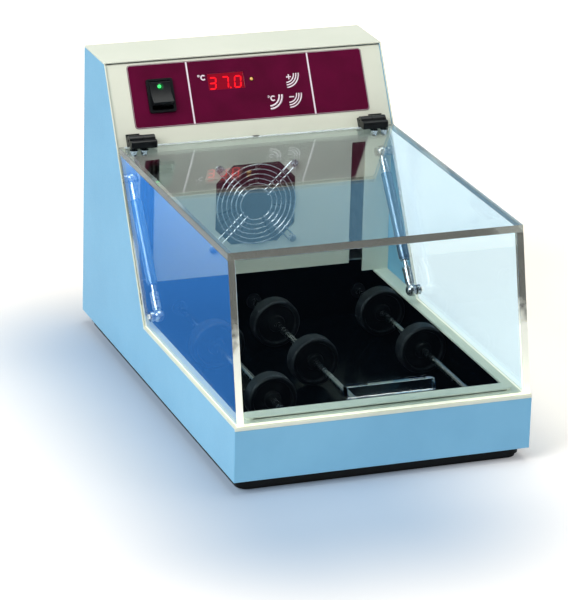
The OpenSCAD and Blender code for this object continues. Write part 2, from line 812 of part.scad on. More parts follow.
module fan_impeller() {
    tip_r = fan_size / 2 - 3;
    depth = fan_depth - 4 - hair - 1;
    blade_t = 1.4;
    blade_tilt = 38;
    color([0.12, 0.12, 0.13]) place() translate([0, fan_y + 1, fan_z]) {
        bar_y(hub_r, 0, depth, 0, 0);
        bar_y(2, 1.5, depth + 4, 0, 0);
        intersection() {
            difference() {
                bar_y(tip_r, 1, depth - 1, 0, 0);
                bar_y(hub_r - 1, 0, depth, 0, 0);
            }
            for (k = [0:blade_count - 1]) rotate([0, k * 360 / blade_count, 0])
                rotate([0, 0, blade_tilt])
                    translate([-blade_t / 2, -fan_depth / 2, hub_r - 1.5])
                        cube([blade_t, 2 * fan_depth, tip_r]);
        }
    }
}

// Welded wire rings on four pairs of straight wires that end in screw loops
module finger_guard() {
    pair = 2.9;
    reach = fan_pitch / sqrt(2);
    ring_y = -3 * wire_r + 0.1;
    color(bright_metal) place() translate([0, rear_wall_y, fan_z]) {
        for (k = [0:ring_count - 1]) translate([0, ring_y, 0]) rotate([-90, 0, 0])
            rotate_extrude() translate([ring_first + k * ring_pitch, 0]) circle(wire_r, $fn = 16);
        for (turn = [45, 135, 225, 315]) rotate([0, turn, 0]) translate([0, -wire_r - 0.05, 0]) {
            for (x = [-pair, pair]) translate([x, 0, ring_first - 2])
                cylinder(r = wire_r, h = reach - ring_first + 2, $fn = 16);
            translate([0, 0, reach]) rotate([-90, 0, 0]) rotate([0, 0, 180])
                rotate_extrude(angle = 180) translate([pair, 0]) circle(wire_r, $fn = 16);
        }
    }
}

// A hairpin heater that stands in the duct behind the two air slots. Each rod stands in
// a thicker terminal, and the bend's ends reach into the rods.
module heater_coil() {
    terminal_r = 3.5;
    rod_r = 3;
    bend_tube_r = 2.8;
    bend = 14;
    socket = 1;
    rear_y = fan_y + duct_d;
    mid_y = fan_y + fan_depth + 14;
    low_z = duct_low_z + 18;
    top_z = duct_top_z - 24;
    color([0.45, 0.43, 0.42]) place() both_sides() {
        for (dx = [0, 2 * bend]) {
            translate([slot_x - 8 - dx, mid_y, low_z])
                cylinder(r = rod_r, h = top_z + socket - low_z);
            bar_y(terminal_r, mid_y - terminal_r, rear_y + 4, slot_x - 8 - dx, low_z);
        }
        translate([slot_x - 8 - bend, mid_y, top_z]) rotate([90, 0, 0])
            rotate_extrude(angle = 180) translate([bend, 0]) circle(bend_tube_r);
    }
}

// A sheet box behind the rear wall that turns the fan's air back to the slots
module air_duct() {
    flange = 8;
    color([0.72, 0.73, 0.74]) place() difference() {
        union() {
            translate([-duct_x, fan_y, duct_low_z])
                cube([2 * duct_x, duct_d, duct_top_z - duct_low_z]);
            translate([-duct_x - flange, fan_y, duct_low_z])
                cube([2 * (duct_x + flange), duct_t, duct_top_z - duct_low_z]);
        }
        translate([-duct_x + duct_t, fan_y - 1, duct_low_z + duct_t])
            cube([2 * (duct_x - duct_t), duct_d - duct_t + 1, duct_top_z - duct_low_z - 2 * duct_t]);
        both_sides() for (dx = [0, 28])
            bar_y(3.5 + run_gap, fan_y + duct_d - 3, fan_y + duct_d + 2,
                slot_x - 8 - dx, duct_low_z + 18);
        translate([52, fan_y + 14, duct_top_z - 5]) cylinder(r = 2 + run_gap, h = 10);
    }
}

module temperature_probe() {
    color(bright_metal) place() translate([52, fan_y + 14, duct_top_z - 40]) {
        cylinder(r = 2, h = 50);
        translate([0, 0, 40]) cylinder(r = 4, h = 6);
    }
}

module shaft(x, rear) {
    color(bright_metal) place() bar_y(shaft_r, shaft_front_y, rear, x, shaft_z);
}

module left_shaft() { shaft(-left_shaft_x, shaft_rear_y); }
module centre_shaft() { shaft(0, pulley_y + pulley_w + 1); }
module right_shaft() { shaft(right_shaft_x, shaft_rear_y); }

// A hub with a thick rubber tyre, pressed on its shaft
module wheel(x, y) {
    web = wheel_w / 2 - 3;
    hub = 7;
    tyre_in = wheel_r - 4;
    translate([x, y + wheel_w / 2, shaft_z]) rotate([-90, 0, 0]) rotate_extrude($fn = 72)
        polygon([
            [shaft_r, -wheel_w / 2], [hub, -wheel_w / 2], [hub + 1, -web],
            [tyre_in - 1, -web], [tyre_in, -wheel_w / 2], [wheel_r - 1.5, -wheel_w / 2],
            [wheel_r, -wheel_w / 2 + 1.5], [wheel_r, wheel_w / 2 - 1.5],
            [wheel_r - 1.5, wheel_w / 2], [tyre_in, wheel_w / 2], [tyre_in - 1, web],
            [hub + 1, web], [hub, wheel_w / 2], [shaft_r, wheel_w / 2]
        ]);
}

module left_wheels() {
    color([0.13, 0.14, 0.15]) place() for (y = left_wheel_rows) wheel(-left_shaft_x, y);
}

module centre_wheels() {
    color([0.13, 0.14, 0.15]) place() for (y = right_wheel_rows) wheel(0, y);
}

module right_wheels() {
    color([0.13, 0.14, 0.15]) place() for (y = right_wheel_rows) wheel(right_shaft_x, y);
}

// Flanged plain bushes in the tray's front and rear walls
module shaft_bushes() {
    color(black_bush) place() shaft_places() {
        for (side = [0, 1]) {
            wall_y = side == 0 ? front_ledge : tray_rear_y;
            flange_y = side == 0 ? front_ledge + sheet_t : tray_rear_y - 3;
            difference() {
                union() {
                    bar_y(bush_r - 1, min(wall_y, flange_y), wall_y + sheet_t, 0, 0);
                    bar_y(bush_r + 1, flange_y, flange_y + 3, 0, 0);
                }
                bar_y(shaft_r + run_gap, wall_y - 6, wall_y + 10, 0, 0);
            }
        }
    }
}

module pulley(x, bore) {
    translate([x, pulley_y + pulley_w / 2, shaft_z]) rotate([-90, 0, 0]) difference() {
        union() {
            cylinder(r = pulley_r, h = pulley_w, center = true);
            for (side = [-1, 1]) translate([0, 0, side * (pulley_w / 2 - 0.5)])
                cylinder(r = pulley_r + 2.5, h = 1, center = true);
        }
        if (bore) cylinder(r = shaft_r, h = pulley_w + 2, center = true);
    }
}

module shaft_pulley() {
    color(bright_metal) place() pulley(0, true);
}

module motor_pulley() {
    color(bright_metal) place() {
        pulley(-motor_dx, false);
        bar_y(shaft_r, pulley_y + 1, motor_y + 8, -motor_dx, shaft_z);
    }
}

module belt_outline(r) {
    circle(r);
    translate([-motor_dx, 0]) circle(r);
    translate([-motor_dx, -r]) square([motor_dx, 2 * r]);
}

module drive_belt() {
    belt_w = pulley_w - 2 - 2 * hair;
    color(black_plastic) place()
        translate([0, pulley_y + 1 + hair, shaft_z]) rotate([-90, 0, 0])
            linear_extrude(belt_w) difference() {
                belt_outline(pulley_r + hair + belt_t);
                belt_outline(pulley_r + hair);
            }
}

module gearmotor() {
    bracket_low = foot_h + pan_wall;
    color([0.55, 0.56, 0.58]) place() difference() {
        union() {
            bar_y(motor_r, motor_y + 3, motor_y + motor_l, -motor_dx, shaft_z);
            translate([-motor_dx - motor_r - 2, motor_y, bracket_low])
                cube([2 * motor_r + 4, 3, shaft_z + motor_r + 2 - bracket_low]);
            translate([-motor_dx - motor_r - 2, motor_y, bracket_low])
                cube([2 * motor_r + 4, 30, 2]);
        }
        bar_y(shaft_r + run_gap, motor_y - 1, motor_y + 8 + hair, -motor_dx, shaft_z);
    }
}

module lid_top_panel() {
    color(clear_acrylic) place() across(-inner_x, inner_x) polygon([
        [lid_front_under_y, lid_under_z],
        [lid_lean, lid_top_z],
        [lid_top_rear_y, lid_top_z],
        [lid_top_rear_y, lid_under_z]
    ]);
}

module lid_front_panel() {
    depth = lid_t / cos(lean);
    color(clear_acrylic) place() across(-lid_inner_x, lid_inner_x) polygon([
        [0, lid_low_z],
        [lid_front_under_y, lid_under_z],
        [lid_front_under_y + depth, lid_under_z],
        [depth, lid_low_z]
    ]);
}

// A side panel with a hole for the strut's stud
module lid_side(x0, x1) {
    color(clear_acrylic) place() difference() {
        across(x0, x1) lid_side_outline();
        bar_x(screw_r + run_gap, x0 - 1, x1 + 1, strut_low_y, strut_low_z);
    }
}

module lid_left_panel() { lid_side(-inner_x, -lid_inner_x); }
module lid_right_panel() { lid_side(lid_inner_x, inner_x); }

module lid_handle() {
    color(clear_acrylic) place() translate([handle_x - handle_l / 2, 0, lid_low_z])
        rotate([90 - lean, 0, 0])
            translate([0, handle_up, 0]) cube([handle_l, handle_h, handle_d]);
}

// A half-round magnet on the rear edge, which tells the drive that the lid is shut
module lid_magnet() {
    magnet_r = 3.2;
    magnet_t = 1.5;
    magnet_x = -1.8;
    magnet_low = 1.5;
    color([0.25, 0.27, 0.28]) place() translate([magnet_x, lid_top_rear_y, lid_top_z])
        intersection() {
            translate([0, 0, -magnet_low]) rotate([-90, 0, 0]) cylinder(r = magnet_r, h = magnet_t);
            translate([-magnet_r, 0, -2 * magnet_r]) cube([2 * magnet_r, magnet_t, 2 * magnet_r]);
        }
}

// Black leaves on the fascia, each with one knuckle round the pin
module tower_hinge_leaves() {
    pin_s = (pin_y - tower_foot_y) * sin(slope) + (pin_z - ledge_z) * cos(slope);
    outer = hinge_in + hinge_w;
    blend = 0.6;
    plate_over = 2.5;
    color(black_plastic) place() both_sides() difference() {
        union() {
            on_slope() {
                translate([hinge_in, pin_s - hinge_r, face_n])
                    cube([hinge_w, 2 * hinge_r, leaf_plate]);
                translate([outer - tower_knuckle_w, pin_s - hinge_r, face_n])
                    cube([tower_knuckle_w, 2 * hinge_r + plate_over, leaf_plate]);
                translate([outer - tower_knuckle_w, pin_s - hinge_r + blend, face_n])
                    cube([tower_knuckle_w, 2 * (hinge_r - blend), pin_n - face_n]);
            }
            bar_x(hinge_r, outer - tower_knuckle_w, outer, pin_y, pin_z);
        }
        bar_x(pin_r + 0.02, hinge_in - 1, outer + 1, pin_y, pin_z);
    }
}

// Black leaves bolted to the lid, each with one knuckle round the pin
module lid_hinge_leaves() {
    knuckle_w = hinge_w - tower_knuckle_w - hair;
    round_r = 2;
    color(black_plastic) place() both_sides() difference() {
        union() {
            across(hinge_in, hinge_in + hinge_w) {
                translate([leaf_front_y, lid_top_z])
                    square([leaf_back_y - leaf_front_y, leaf_h - round_r]);
                translate([leaf_front_y + round_r, lid_top_z])
                    square([leaf_back_y - leaf_front_y - round_r, leaf_h]);
                translate([leaf_front_y + round_r, lid_top_z + leaf_h - round_r]) circle(round_r);
            }
            across(hinge_in, hinge_in + knuckle_w) {
                translate([leaf_front_y + round_r, lid_top_z])
                    square([pin_y - leaf_front_y - round_r, leaf_h]);
                translate([pin_y, pin_z]) circle(hinge_r);
            }
        }
        bar_x(pin_r + run_gap, hinge_in - 1, hinge_in + hinge_w + 1, pin_y, pin_z);
        for (dx = [0, bolt_pitch]) translate([bolt_x - dx, bolt_y, lid_top_z - 1])
            cylinder(r = 1.5 + 0.02, h = leaf_h - 2);
    }
}

module hinge_pins() {
    color(bright_metal) place() both_sides()
        bar_x(pin_r, hinge_in + 0.5, hinge_in + hinge_w - 0.5, pin_y, pin_z);
}

// Bolts moulded into the lid leaves, with domed nuts and washers under the lid
module hinge_cap_nuts() {
    nut_r = 3.1;
    color(bright_metal) place() both_sides() for (dx = [0, bolt_pitch])
        translate([bolt_x - dx, bolt_y, 0]) {
            translate([0, 0, lid_under_z - 0.8]) cylinder(r = 3.8, h = 0.8);
            translate([0, 0, lid_under_z - 3.8]) cylinder(r = nut_r, h = 3, $fn = 6);
            translate([0, 0, lid_under_z - 3.8]) intersection() {
                sphere(2.8);
                translate([-5, -5, -10]) cube(10);
            }
        }
}

// Puts a strut along its rest line: its local z runs from the upper to the lower pivot
module strut_frame(side) {
    translate([side * strut_x, strut_top_y, strut_top_z])
        rotate([strut_turn - 90, 0, 0]) children();
}

module strut_cylinder(side) {
    color([0.35, 0.45, 0.55]) place() strut_frame(side) difference() {
        union() {
            translate([0, 0, tube_start]) cylinder(r = tube_r, h = tube_l - 2);
            translate([0, 0, tube_start + tube_l - 2]) cylinder(r = tube_r - 0.8, h = 2);
            translate([0, 0, tube_start - 6]) cylinder(r = 2, h = 7);
        }
        translate([0, 0, tube_start + tube_l - rod_depth - 2])
            cylinder(r = rod_r + run_gap, h = rod_depth + 3);
    }
}

module left_strut_cylinder() { strut_cylinder(-1); }
module right_strut_cylinder() { strut_cylinder(1); }

module strut_rod(side) {
    color(bright_metal) place() strut_frame(side)
        translate([0, 0, tube_start + tube_l - rod_depth])
            cylinder(r = rod_r, h = strut_l - rod_fitting_l - ball_r + 6 - tube_start - tube_l + rod_depth);
}

module left_strut_rod() { strut_rod(-1); }
module right_strut_rod() { strut_rod(1); }

// The upper socket: a ball end that turns on its stud, with a screwed fitting
module cylinder_socket(side) {
    color(bright_metal) place() difference() {
        strut_frame(side) difference() {
            union() {
                intersection() {
                    sphere(ball_r);
                    cube([2 * socket_face, 4 * ball_r, 4 * ball_r], center = true);
                }
                translate([0, 0, 3]) cylinder(r = 3.2, h = tube_start - 3);
                translate([0, 0, ball_r + 2]) cylinder(r = 4, h = tube_start - ball_r - 2);
            }
            translate([0, 0, tube_start - 6.5]) cylinder(r = 2 + 0.02, h = 8);
        }
        bar_x(stud_r + run_gap, side * strut_x - 10, side * strut_x + 10, strut_top_y, strut_top_z);
    }
}

module left_cylinder_socket() { cylinder_socket(-1); }
module right_cylinder_socket() { cylinder_socket(1); }

// The lower ball end on the rod, which stops just short of the lid's stud
module rod_socket(side) {
    color(bright_metal) place() strut_frame(side) translate([0, 0, strut_l]) difference() {
        union() {
            intersection() {
                sphere(ball_r);
                cube([2 * socket_face, 4 * ball_r, 4 * ball_r], center = true);
            }
            translate([0, 0, -ball_r - rod_fitting_l]) cylinder(r = 4, h = rod_fitting_l - 1);
            translate([0, 0, -ball_r - 2]) cylinder(r = 3.2, h = 4);
        }
        translate([0, 0, -ball_r - rod_fitting_l - 1]) cylinder(r = rod_r + 0.02, h = 7.1);
    }
}

module left_rod_socket() { rod_socket(-1); }
module right_rod_socket() { rod_socket(1); }

module upper_ball_studs() {
    color(bright_metal) place() both_sides() {
        bar_x(stud_r, strut_x - socket_face - 1, inner_x, strut_top_y, strut_top_z);
        bar_x(ball_r - 1.2, strut_x + socket_face + hair, inner_x, strut_top_y, strut_top_z);
        bar_x(stud_r + 1, strut_x - socket_face - 1, strut_x - socket_face - hair,
            strut_top_y, strut_top_z);
    }
}

module lower_ball_studs() {
    color(bright_metal) place() both_sides() {
        bar_x(ball_r - 1, strut_x + socket_face + hair, lid_inner_x, strut_low_y, strut_low_z);
        bar_x(screw_r, strut_x + socket_face + 1, inner_x - 0.1, strut_low_y, strut_low_z);
    }
}

base_pan();
feet();
left_side_panel();
right_side_panel();
front_panel();
chamber_top_frame();
tower_roof();
fascia_panel();
rear_panel();
panel_screws();
chamber_tray();
chamber_rear_wall();
control_overlay();
display_module();
status_light();
plus_key();
minus_key();
temperature_key();
switch_bezel();
switch_rocker();
control_board();
transformer();
mains_inlet();
fan_frame();
fan_impeller();
finger_guard();
heater_coil();
air_duct();
temperature_probe();
left_shaft();
centre_shaft();
right_shaft();
left_wheels();
centre_wheels();
right_wheels();
shaft_bushes();
shaft_pulley();
motor_pulley();
drive_belt();
gearmotor();
lid_top_panel();
lid_front_panel();
lid_left_panel();
lid_right_panel();
lid_handle();
lid_magnet();
tower_hinge_leaves();
lid_hinge_leaves();
hinge_pins();
hinge_cap_nuts();
left_strut_cylinder();
right_strut_cylinder();
left_strut_rod();
right_strut_rod();
left_cylinder_socket();
right_cylinder_socket();
left_rod_socket();
right_rod_socket();
upper_ball_studs();
lower_ball_studs();
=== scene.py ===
# %% [markdown]
# # A bench-top hybridization oven
# A low heated chamber with bottle rollers sits under a hinged clear lid, and a sloping
# control tower stands behind it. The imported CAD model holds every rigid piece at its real
# size, so it is loaded as a fixed frame, and this lesson adds its surfaces, its fine
# printed marks, its light and its camera.

# %% Load the frame
import json
import math

import bmesh
import bpy
from mathutils import Matrix, Vector

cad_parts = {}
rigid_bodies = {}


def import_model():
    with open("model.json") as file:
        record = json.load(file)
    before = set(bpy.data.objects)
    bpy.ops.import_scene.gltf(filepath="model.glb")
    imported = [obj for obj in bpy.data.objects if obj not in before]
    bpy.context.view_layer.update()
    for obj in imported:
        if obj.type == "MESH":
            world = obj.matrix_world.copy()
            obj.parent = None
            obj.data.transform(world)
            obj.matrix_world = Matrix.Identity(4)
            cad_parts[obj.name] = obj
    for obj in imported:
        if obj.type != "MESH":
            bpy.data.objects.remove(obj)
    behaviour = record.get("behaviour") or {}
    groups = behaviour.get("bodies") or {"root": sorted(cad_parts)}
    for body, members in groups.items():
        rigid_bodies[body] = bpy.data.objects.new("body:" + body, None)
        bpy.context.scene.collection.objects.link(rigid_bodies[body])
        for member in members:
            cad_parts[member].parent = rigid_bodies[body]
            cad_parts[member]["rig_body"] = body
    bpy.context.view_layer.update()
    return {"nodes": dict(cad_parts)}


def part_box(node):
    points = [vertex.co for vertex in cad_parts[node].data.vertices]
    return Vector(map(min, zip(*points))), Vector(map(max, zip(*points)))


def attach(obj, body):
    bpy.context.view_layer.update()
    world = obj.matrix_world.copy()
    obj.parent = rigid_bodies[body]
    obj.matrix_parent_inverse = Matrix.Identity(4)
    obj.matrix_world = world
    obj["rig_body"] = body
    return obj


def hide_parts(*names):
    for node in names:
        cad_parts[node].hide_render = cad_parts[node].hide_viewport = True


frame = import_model()
nodes = frame["nodes"]

# %% [markdown]
# ## Sizes
# All sizes are real ones. They are written in millimetres and turned to metres once, when
# a mesh is made. The control panel is a slope, so its marks are drawn flat, with x across,
# y up the slope and z outwards, and one matrix stands them on the slope.

# %% Millimetres and the slope
MM = 0.001
FRONT_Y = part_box("front_panel")[0].y
LEDGE_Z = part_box("lid_left_panel")[0].z - 0.3 * MM
TOWER_FOOT = 243 * MM
TOWER_BACK = 122 * MM
TOWER_RISE = 206 * MM
slope = math.atan2(TOWER_BACK, TOWER_RISE)
SLOPE_PLACE = Matrix((
    (1, 0, 0, 0),
    (0, math.sin(slope), -math.cos(slope), FRONT_Y + TOWER_FOOT),
    (0, math.cos(slope), math.sin(slope), LEDGE_Z),
    (0, 0, 0, 1),
))
print(f"the tower leans back {math.degrees(slope):.2f} degrees")

# %% [markdown]
# ## Camera
# The photograph was taken from the front left and a little above, with a long lens, so
# the edges that run back hardly meet. The camera's place, turn and lens were found by
# setting the corners of the casing and the lid on the photograph.

# %% Camera
CAMERA_PLACE = Vector((-1.0111, -2.6293, LEDGE_Z + 1.0672))
CAMERA_TURN = math.radians(20.78)
CAMERA_DIP = math.radians(20.35)
CAMERA_ROLL = math.radians(1.65)
CAMERA_LENS_MM = 204.77

ahead = Vector((
    math.sin(CAMERA_TURN) * math.cos(CAMERA_DIP),
    math.cos(CAMERA_TURN) * math.cos(CAMERA_DIP),
    -math.sin(CAMERA_DIP),
))
level_right = ahead.cross(Vector((0, 0, 1))).normalized()
level_up = level_right.cross(ahead)
right = math.cos(CAMERA_ROLL) * level_right + math.sin(CAMERA_ROLL) * level_up
up = -math.sin(CAMERA_ROLL) * level_right + math.cos(CAMERA_ROLL) * level_up
lens = bpy.data.cameras.new("long_lens")
lens.lens = CAMERA_LENS_MM
lens.clip_end = 50
camera = bpy.data.objects.new("camera", lens)
camera.matrix_world = Matrix((
    (right.x, up.x, -ahead.x, CAMERA_PLACE.x),
    (right.y, up.y, -ahead.y, CAMERA_PLACE.y),
    (right.z, up.z, -ahead.z, CAMERA_PLACE.z),
    (0, 0, 0, 1),
))
bpy.context.collection.objects.link(camera)
bpy.context.scene.camera = camera
print(f"camera {CAMERA_LENS_MM} mm, {CAMERA_PLACE.length:.2f} m from the origin")

# %% [markdown]
# ## Nodes and colours
# Every finish is a small node tree, and every node in it is added in the same way: its
# kind, its settings and what goes into its sockets. Colours are written as the eye sees
# them, as hex values, and turned to the linear values that the renderer wants.

# %% Helpers for materials
def linear(hex_code):
    """A hex colour as linear red, green, blue and alpha."""
    values = [int(hex_code[i:i + 2], 16) / 255 for i in (1, 3, 5)]
    return tuple(
        v / 12.92 if v <= 0.04045 else ((v + 0.055) / 1.055) ** 2.4 for v in values
    ) + (1.0,)


def add(tree, kind, inputs=None, **settings):
    """Adds a node; an input may be a value or another node's output."""
    node = tree.nodes.new(kind)
    for name, value in settings.items():
        setattr(node, name, value)
    for name, value in (inputs or {}).items():
        if isinstance(value, bpy.types.NodeSocket):
            tree.links.new(value, node.inputs[name])
        else:
            node.inputs[name].default_value = value
    return node


def new_material(name):
    """An empty material and its node tree."""
    material = bpy.data.materials.new(name + "_finish")
    material.use_nodes = True
    material.node_tree.nodes.clear()
    return material, material.node_tree


# %% [markdown]
# ## One recipe for solid finishes
# Paint, plastic, rubber and metal differ in colour, gloss and the size of their grain,
# and hardly at all in how they are built. A noise in object space gives the grain its
# bump and its gloss, and a coarser noise moves the colour a little, as wear and handling
# do. Stretching the grain turns the same recipe into brushed, drawn or ground metal.

# %% The recipe
MIX_A, MIX_B, MIX_RESULT = 6, 7, 2


def finish(name, colour, shade, roughness, grain_mm, grain_depth_mm, metallic=0.0,
           ior=1.5, blotch_mm=60.0, gloss_change=0.06, stretch=(1.0, 1.0, 1.0),
           coat=0.0, coat_roughness=0.1, sheen=0.0):
    """A solid finish; the grain and the blotches are in real millimetres."""
    material, tree = new_material(name)
    place = add(tree, "ShaderNodeTexCoord")
    along = add(tree, "ShaderNodeMapping", {
        "Vector": place.outputs["Object"], "Scale": stretch})
    grain = add(tree, "ShaderNodeTexNoise", {
        "Vector": along.outputs["Vector"], "Scale": 1 / (grain_mm * MM), "Detail": 3.0})
    blotch = add(tree, "ShaderNodeTexNoise", {
        "Vector": place.outputs["Object"], "Scale": 1 / (blotch_mm * MM), "Detail": 4.0})
    spread = add(tree, "ShaderNodeMapRange", {
        "Value": blotch.outputs["Fac"], "From Min": 0.35, "From Max": 0.65})
    mixed = add(tree, "ShaderNodeMix", {
        "Factor": spread.outputs["Result"], MIX_A: linear(colour), MIX_B: linear(shade)},
        data_type="RGBA")
    gloss = add(tree, "ShaderNodeMapRange", {
        "Value": grain.outputs["Fac"], "From Min": 0.3, "From Max": 0.7,
        "To Min": max(roughness - gloss_change, 0.02), "To Max": roughness + gloss_change})
    bump = add(tree, "ShaderNodeBump", {
        "Height": grain.outputs["Fac"], "Distance": grain_depth_mm * MM})
    surface = add(tree, "ShaderNodeBsdfPrincipled", {
        "Base Color": mixed.outputs[MIX_RESULT], "Roughness": gloss.outputs["Result"],
        "Normal": bump.outputs["Normal"], "Metallic": metallic, "IOR": ior,
        "Coat Weight": coat, "Coat Roughness": coat_roughness, "Sheen Weight": sheen})
    add(tree, "ShaderNodeOutputMaterial", {"Surface": surface.outputs["BSDF"]})
    return material


finishes = {}

# %% [markdown]
# ## Paint
# The casing is steel sheet with a stoved powder coat. Powder flows together as it melts,
# and leaves a fine orange peel of a millimetre or two, which breaks up reflections
# without dulling them. The coat is cream; the roof, the fascia and the ledge show it as it
# is, and the sides and the front are given a light blue that is painted blue light on the
# cream. The tray in the chamber has a smooth black coat, the base pan a satin one.

# %% Painted finishes
# powder coat on steel sheet: satin, with a fine orange peel
# the light blue of the sides and the front is painted blue light on the cream coat
finishes["blue_enamel"] = finish(
    "blue_powder_coat", "#80BCDB", "#7AB6D6", 0.42, 1.1, 0.08, gloss_change=0.06)
finishes["cream_enamel"] = finish(
    "cream_powder_coat", "#E6E7D6", "#E0E2D0", 0.45, 1.1, 0.06, gloss_change=0.05)
finishes["black_powder_coat"] = finish(
    "black_base_coat", "#040405", "#070708", 0.45, 0.9, 0.05, ior=1.25)
# stoved gloss enamel on the tray: nearly a mirror, with a slight long wave
finishes["black_enamel"] = finish(
    "black_gloss_enamel", "#020406", "#04070B", 0.16, 4.0, 0.02, ior=1.13,
    gloss_change=0.03, blotch_mm=90)
print(f"{len(finishes)} painted finishes")

# %% [markdown]
# ## Bare and plated metal
# The shafts are ground steel with fine rings round them, the guard is chrome-plated
# wire, the screws are zinc-plated and the strut cylinders are grey lacquer, set blue-grey
# as painted blue light. A metal takes its look from what it mirrors, so its roughness
# matters more than its colour.

# %% Metal finishes
# bright zinc plate: slightly cloudy
finishes["plated_steel"] = finish(
    "zinc_plate", "#C9CCCF", "#B8BCC0", 0.28, 1.2, 0.01, metallic=1.0, blotch_mm=8)
# nickel and chromium over welded wire: a clean mirror with small waves
finishes["chrome_wire"] = finish(
    "chrome_plated_wire", "#DDE0E2", "#D2D6D9", 0.16, 2.5, 0.02, metallic=1.0,
    gloss_change=0.05)
finishes["chrome_nut"] = finish(
    "chrome_plated_nut", "#E2E4E6", "#D4D8DB", 0.1, 2.0, 0.01, metallic=1.0,
    gloss_change=0.04)
# centreless ground bar: fine rings across its length, which runs front to back
finishes["ground_steel"] = finish(
    "ground_bar", "#C6C8CA", "#B9BCBF", 0.22, 6.0, 0.01, metallic=1.0,
    stretch=(1.0, 14.0, 1.0), gloss_change=0.08)
# turned aluminium: rings left by the tool
finishes["turned_aluminium"] = finish(
    "turned_aluminium", "#CDCFD0", "#BFC2C4", 0.3, 6.0, 0.02, metallic=1.0,
    stretch=(1.0, 20.0, 1.0))
# hot-dip zinc on sheet: large dull crystals
finishes["galvanised_sheet"] = finish(
    "hot_dip_zinc", "#B4B8BA", "#9FA5A9", 0.42, 9.0, 0.02, metallic=1.0, blotch_mm=12)
# stainless sheath that has been hot: straw and brown stains
finishes["heater_sheath"] = finish(
    "heat_stained_steel", "#8C8074", "#6F6A68", 0.4, 1.5, 0.02, metallic=1.0,
    blotch_mm=18)
# varnished silicon steel sheets, stacked
finishes["transformer_core"] = finish(
    "stacked_steel", "#5A5650", "#48453F", 0.5, 8.0, 0.05, metallic=0.6,
    stretch=(1.0, 12.0, 1.0))
# grey lacquer on a polished tube, its blue-grey a painted blue light
finishes["strut_paint"] = finish(
    "tube_lacquer", "#5F7F9C", "#56748F", 0.2, 3.0, 0.01, metallic=0.35, coat=0.6,
    gloss_change=0.04)
print(f"{len(finishes)} finishes with the metals")

# %% [markdown]
# ## Plastic, rubber and board
# Moulded plastic has a fine spark-eroded texture and a soft shine, rubber is darker and
# duller with a bloom on it, and the board is glossy solder mask over copper.

# %% Moulded finishes
finishes["black_moulding"] = finish(
    "moulded_abs", "#0C0F12", "#12161A", 0.42, 0.5, 0.02, ior=1.36)
finishes["black_nylon"] = finish(
    "moulded_nylon", "#08090B", "#0E1013", 0.34, 0.8, 0.02, ior=1.42)
finishes["rubber_foot"] = finish(
    "foot_rubber", "#17181A", "#1F2022", 0.75, 0.6, 0.05, sheen=0.2)
# the tyre is a little lighter than the hub: painted sheen for the rim's reflection, over a
# real rubber tyre on a moulded hub
finishes["wheel_rubber"] = finish(
    "tyre_rubber", "#15181B", "#1C2024", 0.55, 0.7, 0.05, ior=1.35, blotch_mm=14)
wheel_hub = finish(
    "moulded_hub", "#08090A", "#0D0F11", 0.4, 0.5, 0.02, ior=1.35)
finishes["belt_rubber"] = finish(
    "belt_rubber", "#161718", "#1E1F21", 0.7, 0.5, 0.04)
finishes["magnet_ferrite"] = finish(
    "pressed_ferrite", "#4A4D4E", "#3C3F41", 0.55, 0.4, 0.03)
finishes["circuit_board"] = finish(
    "solder_mask", "#1E5A35", "#184A2B", 0.25, 1.5, 0.03, blotch_mm=10)
# screen-printed polyester film: deep maroon, faintly mottled, softly glossy
finishes["printed_film"] = finish(
    "maroon_film", "#5E0A31", "#54092B", 0.4, 0.6, 0.006, ior=1.15, blotch_mm=25)
finishes["key_film"] = finishes["printed_film"]
print(f"{len(finishes)} finishes with the mouldings")

# %% [markdown]
# ## Clear acrylic
# The lid is cast acrylic sheet, 6 mm thick, with a refractive index of 1.49. Its real
# thickness bends what lies behind it. Its edges are sawn and flamed: glassy above, and
# below with a painted glow that stands in for light travelling inside the sheet and coming
# out there. Direct light has to pass the sheet too, so a shadow ray sees it as transparent,
# through a tint darker than clear acrylic that paints shade inside the lid.

# %% Acrylic
ACRYLIC_IOR = 1.49


def acrylic(name, tint, shadow_tint):
    """A clear sheet surface that lets the lamps' light through."""
    material, tree = new_material(name)
    place = add(tree, "ShaderNodeTexCoord")
    haze = add(tree, "ShaderNodeTexNoise", {
        "Vector": place.outputs["Object"], "Scale": 1 / (30 * MM), "Detail": 3.0})
    wave = add(tree, "ShaderNodeBump", {
        "Height": haze.outputs["Fac"], "Distance": 0.01 * MM})
    clear = add(tree, "ShaderNodeBsdfPrincipled", {
        "Base Color": linear(tint), "Roughness": 0.0, "IOR": ACRYLIC_IOR,
        "Transmission Weight": 1.0, "Normal": wave.outputs["Normal"]})
    shadow = add(tree, "ShaderNodeBsdfTransparent", {"Color": linear(shadow_tint)})
    ray = add(tree, "ShaderNodeLightPath")
    chosen = add(tree, "ShaderNodeMixShader", {
        0: ray.outputs["Is Shadow Ray"], 1: clear.outputs["BSDF"],
        2: shadow.outputs["BSDF"]})
    add(tree, "ShaderNodeOutputMaterial", {"Surface": chosen.outputs["Shader"]})
    return material


# the shadow tint passes less light than clear acrylic does: painted shade inside the lid
finishes["clear_acrylic"] = acrylic("cast_acrylic", "#F7FEFF", "#A9B7B8")
print("polished faces of acrylic")


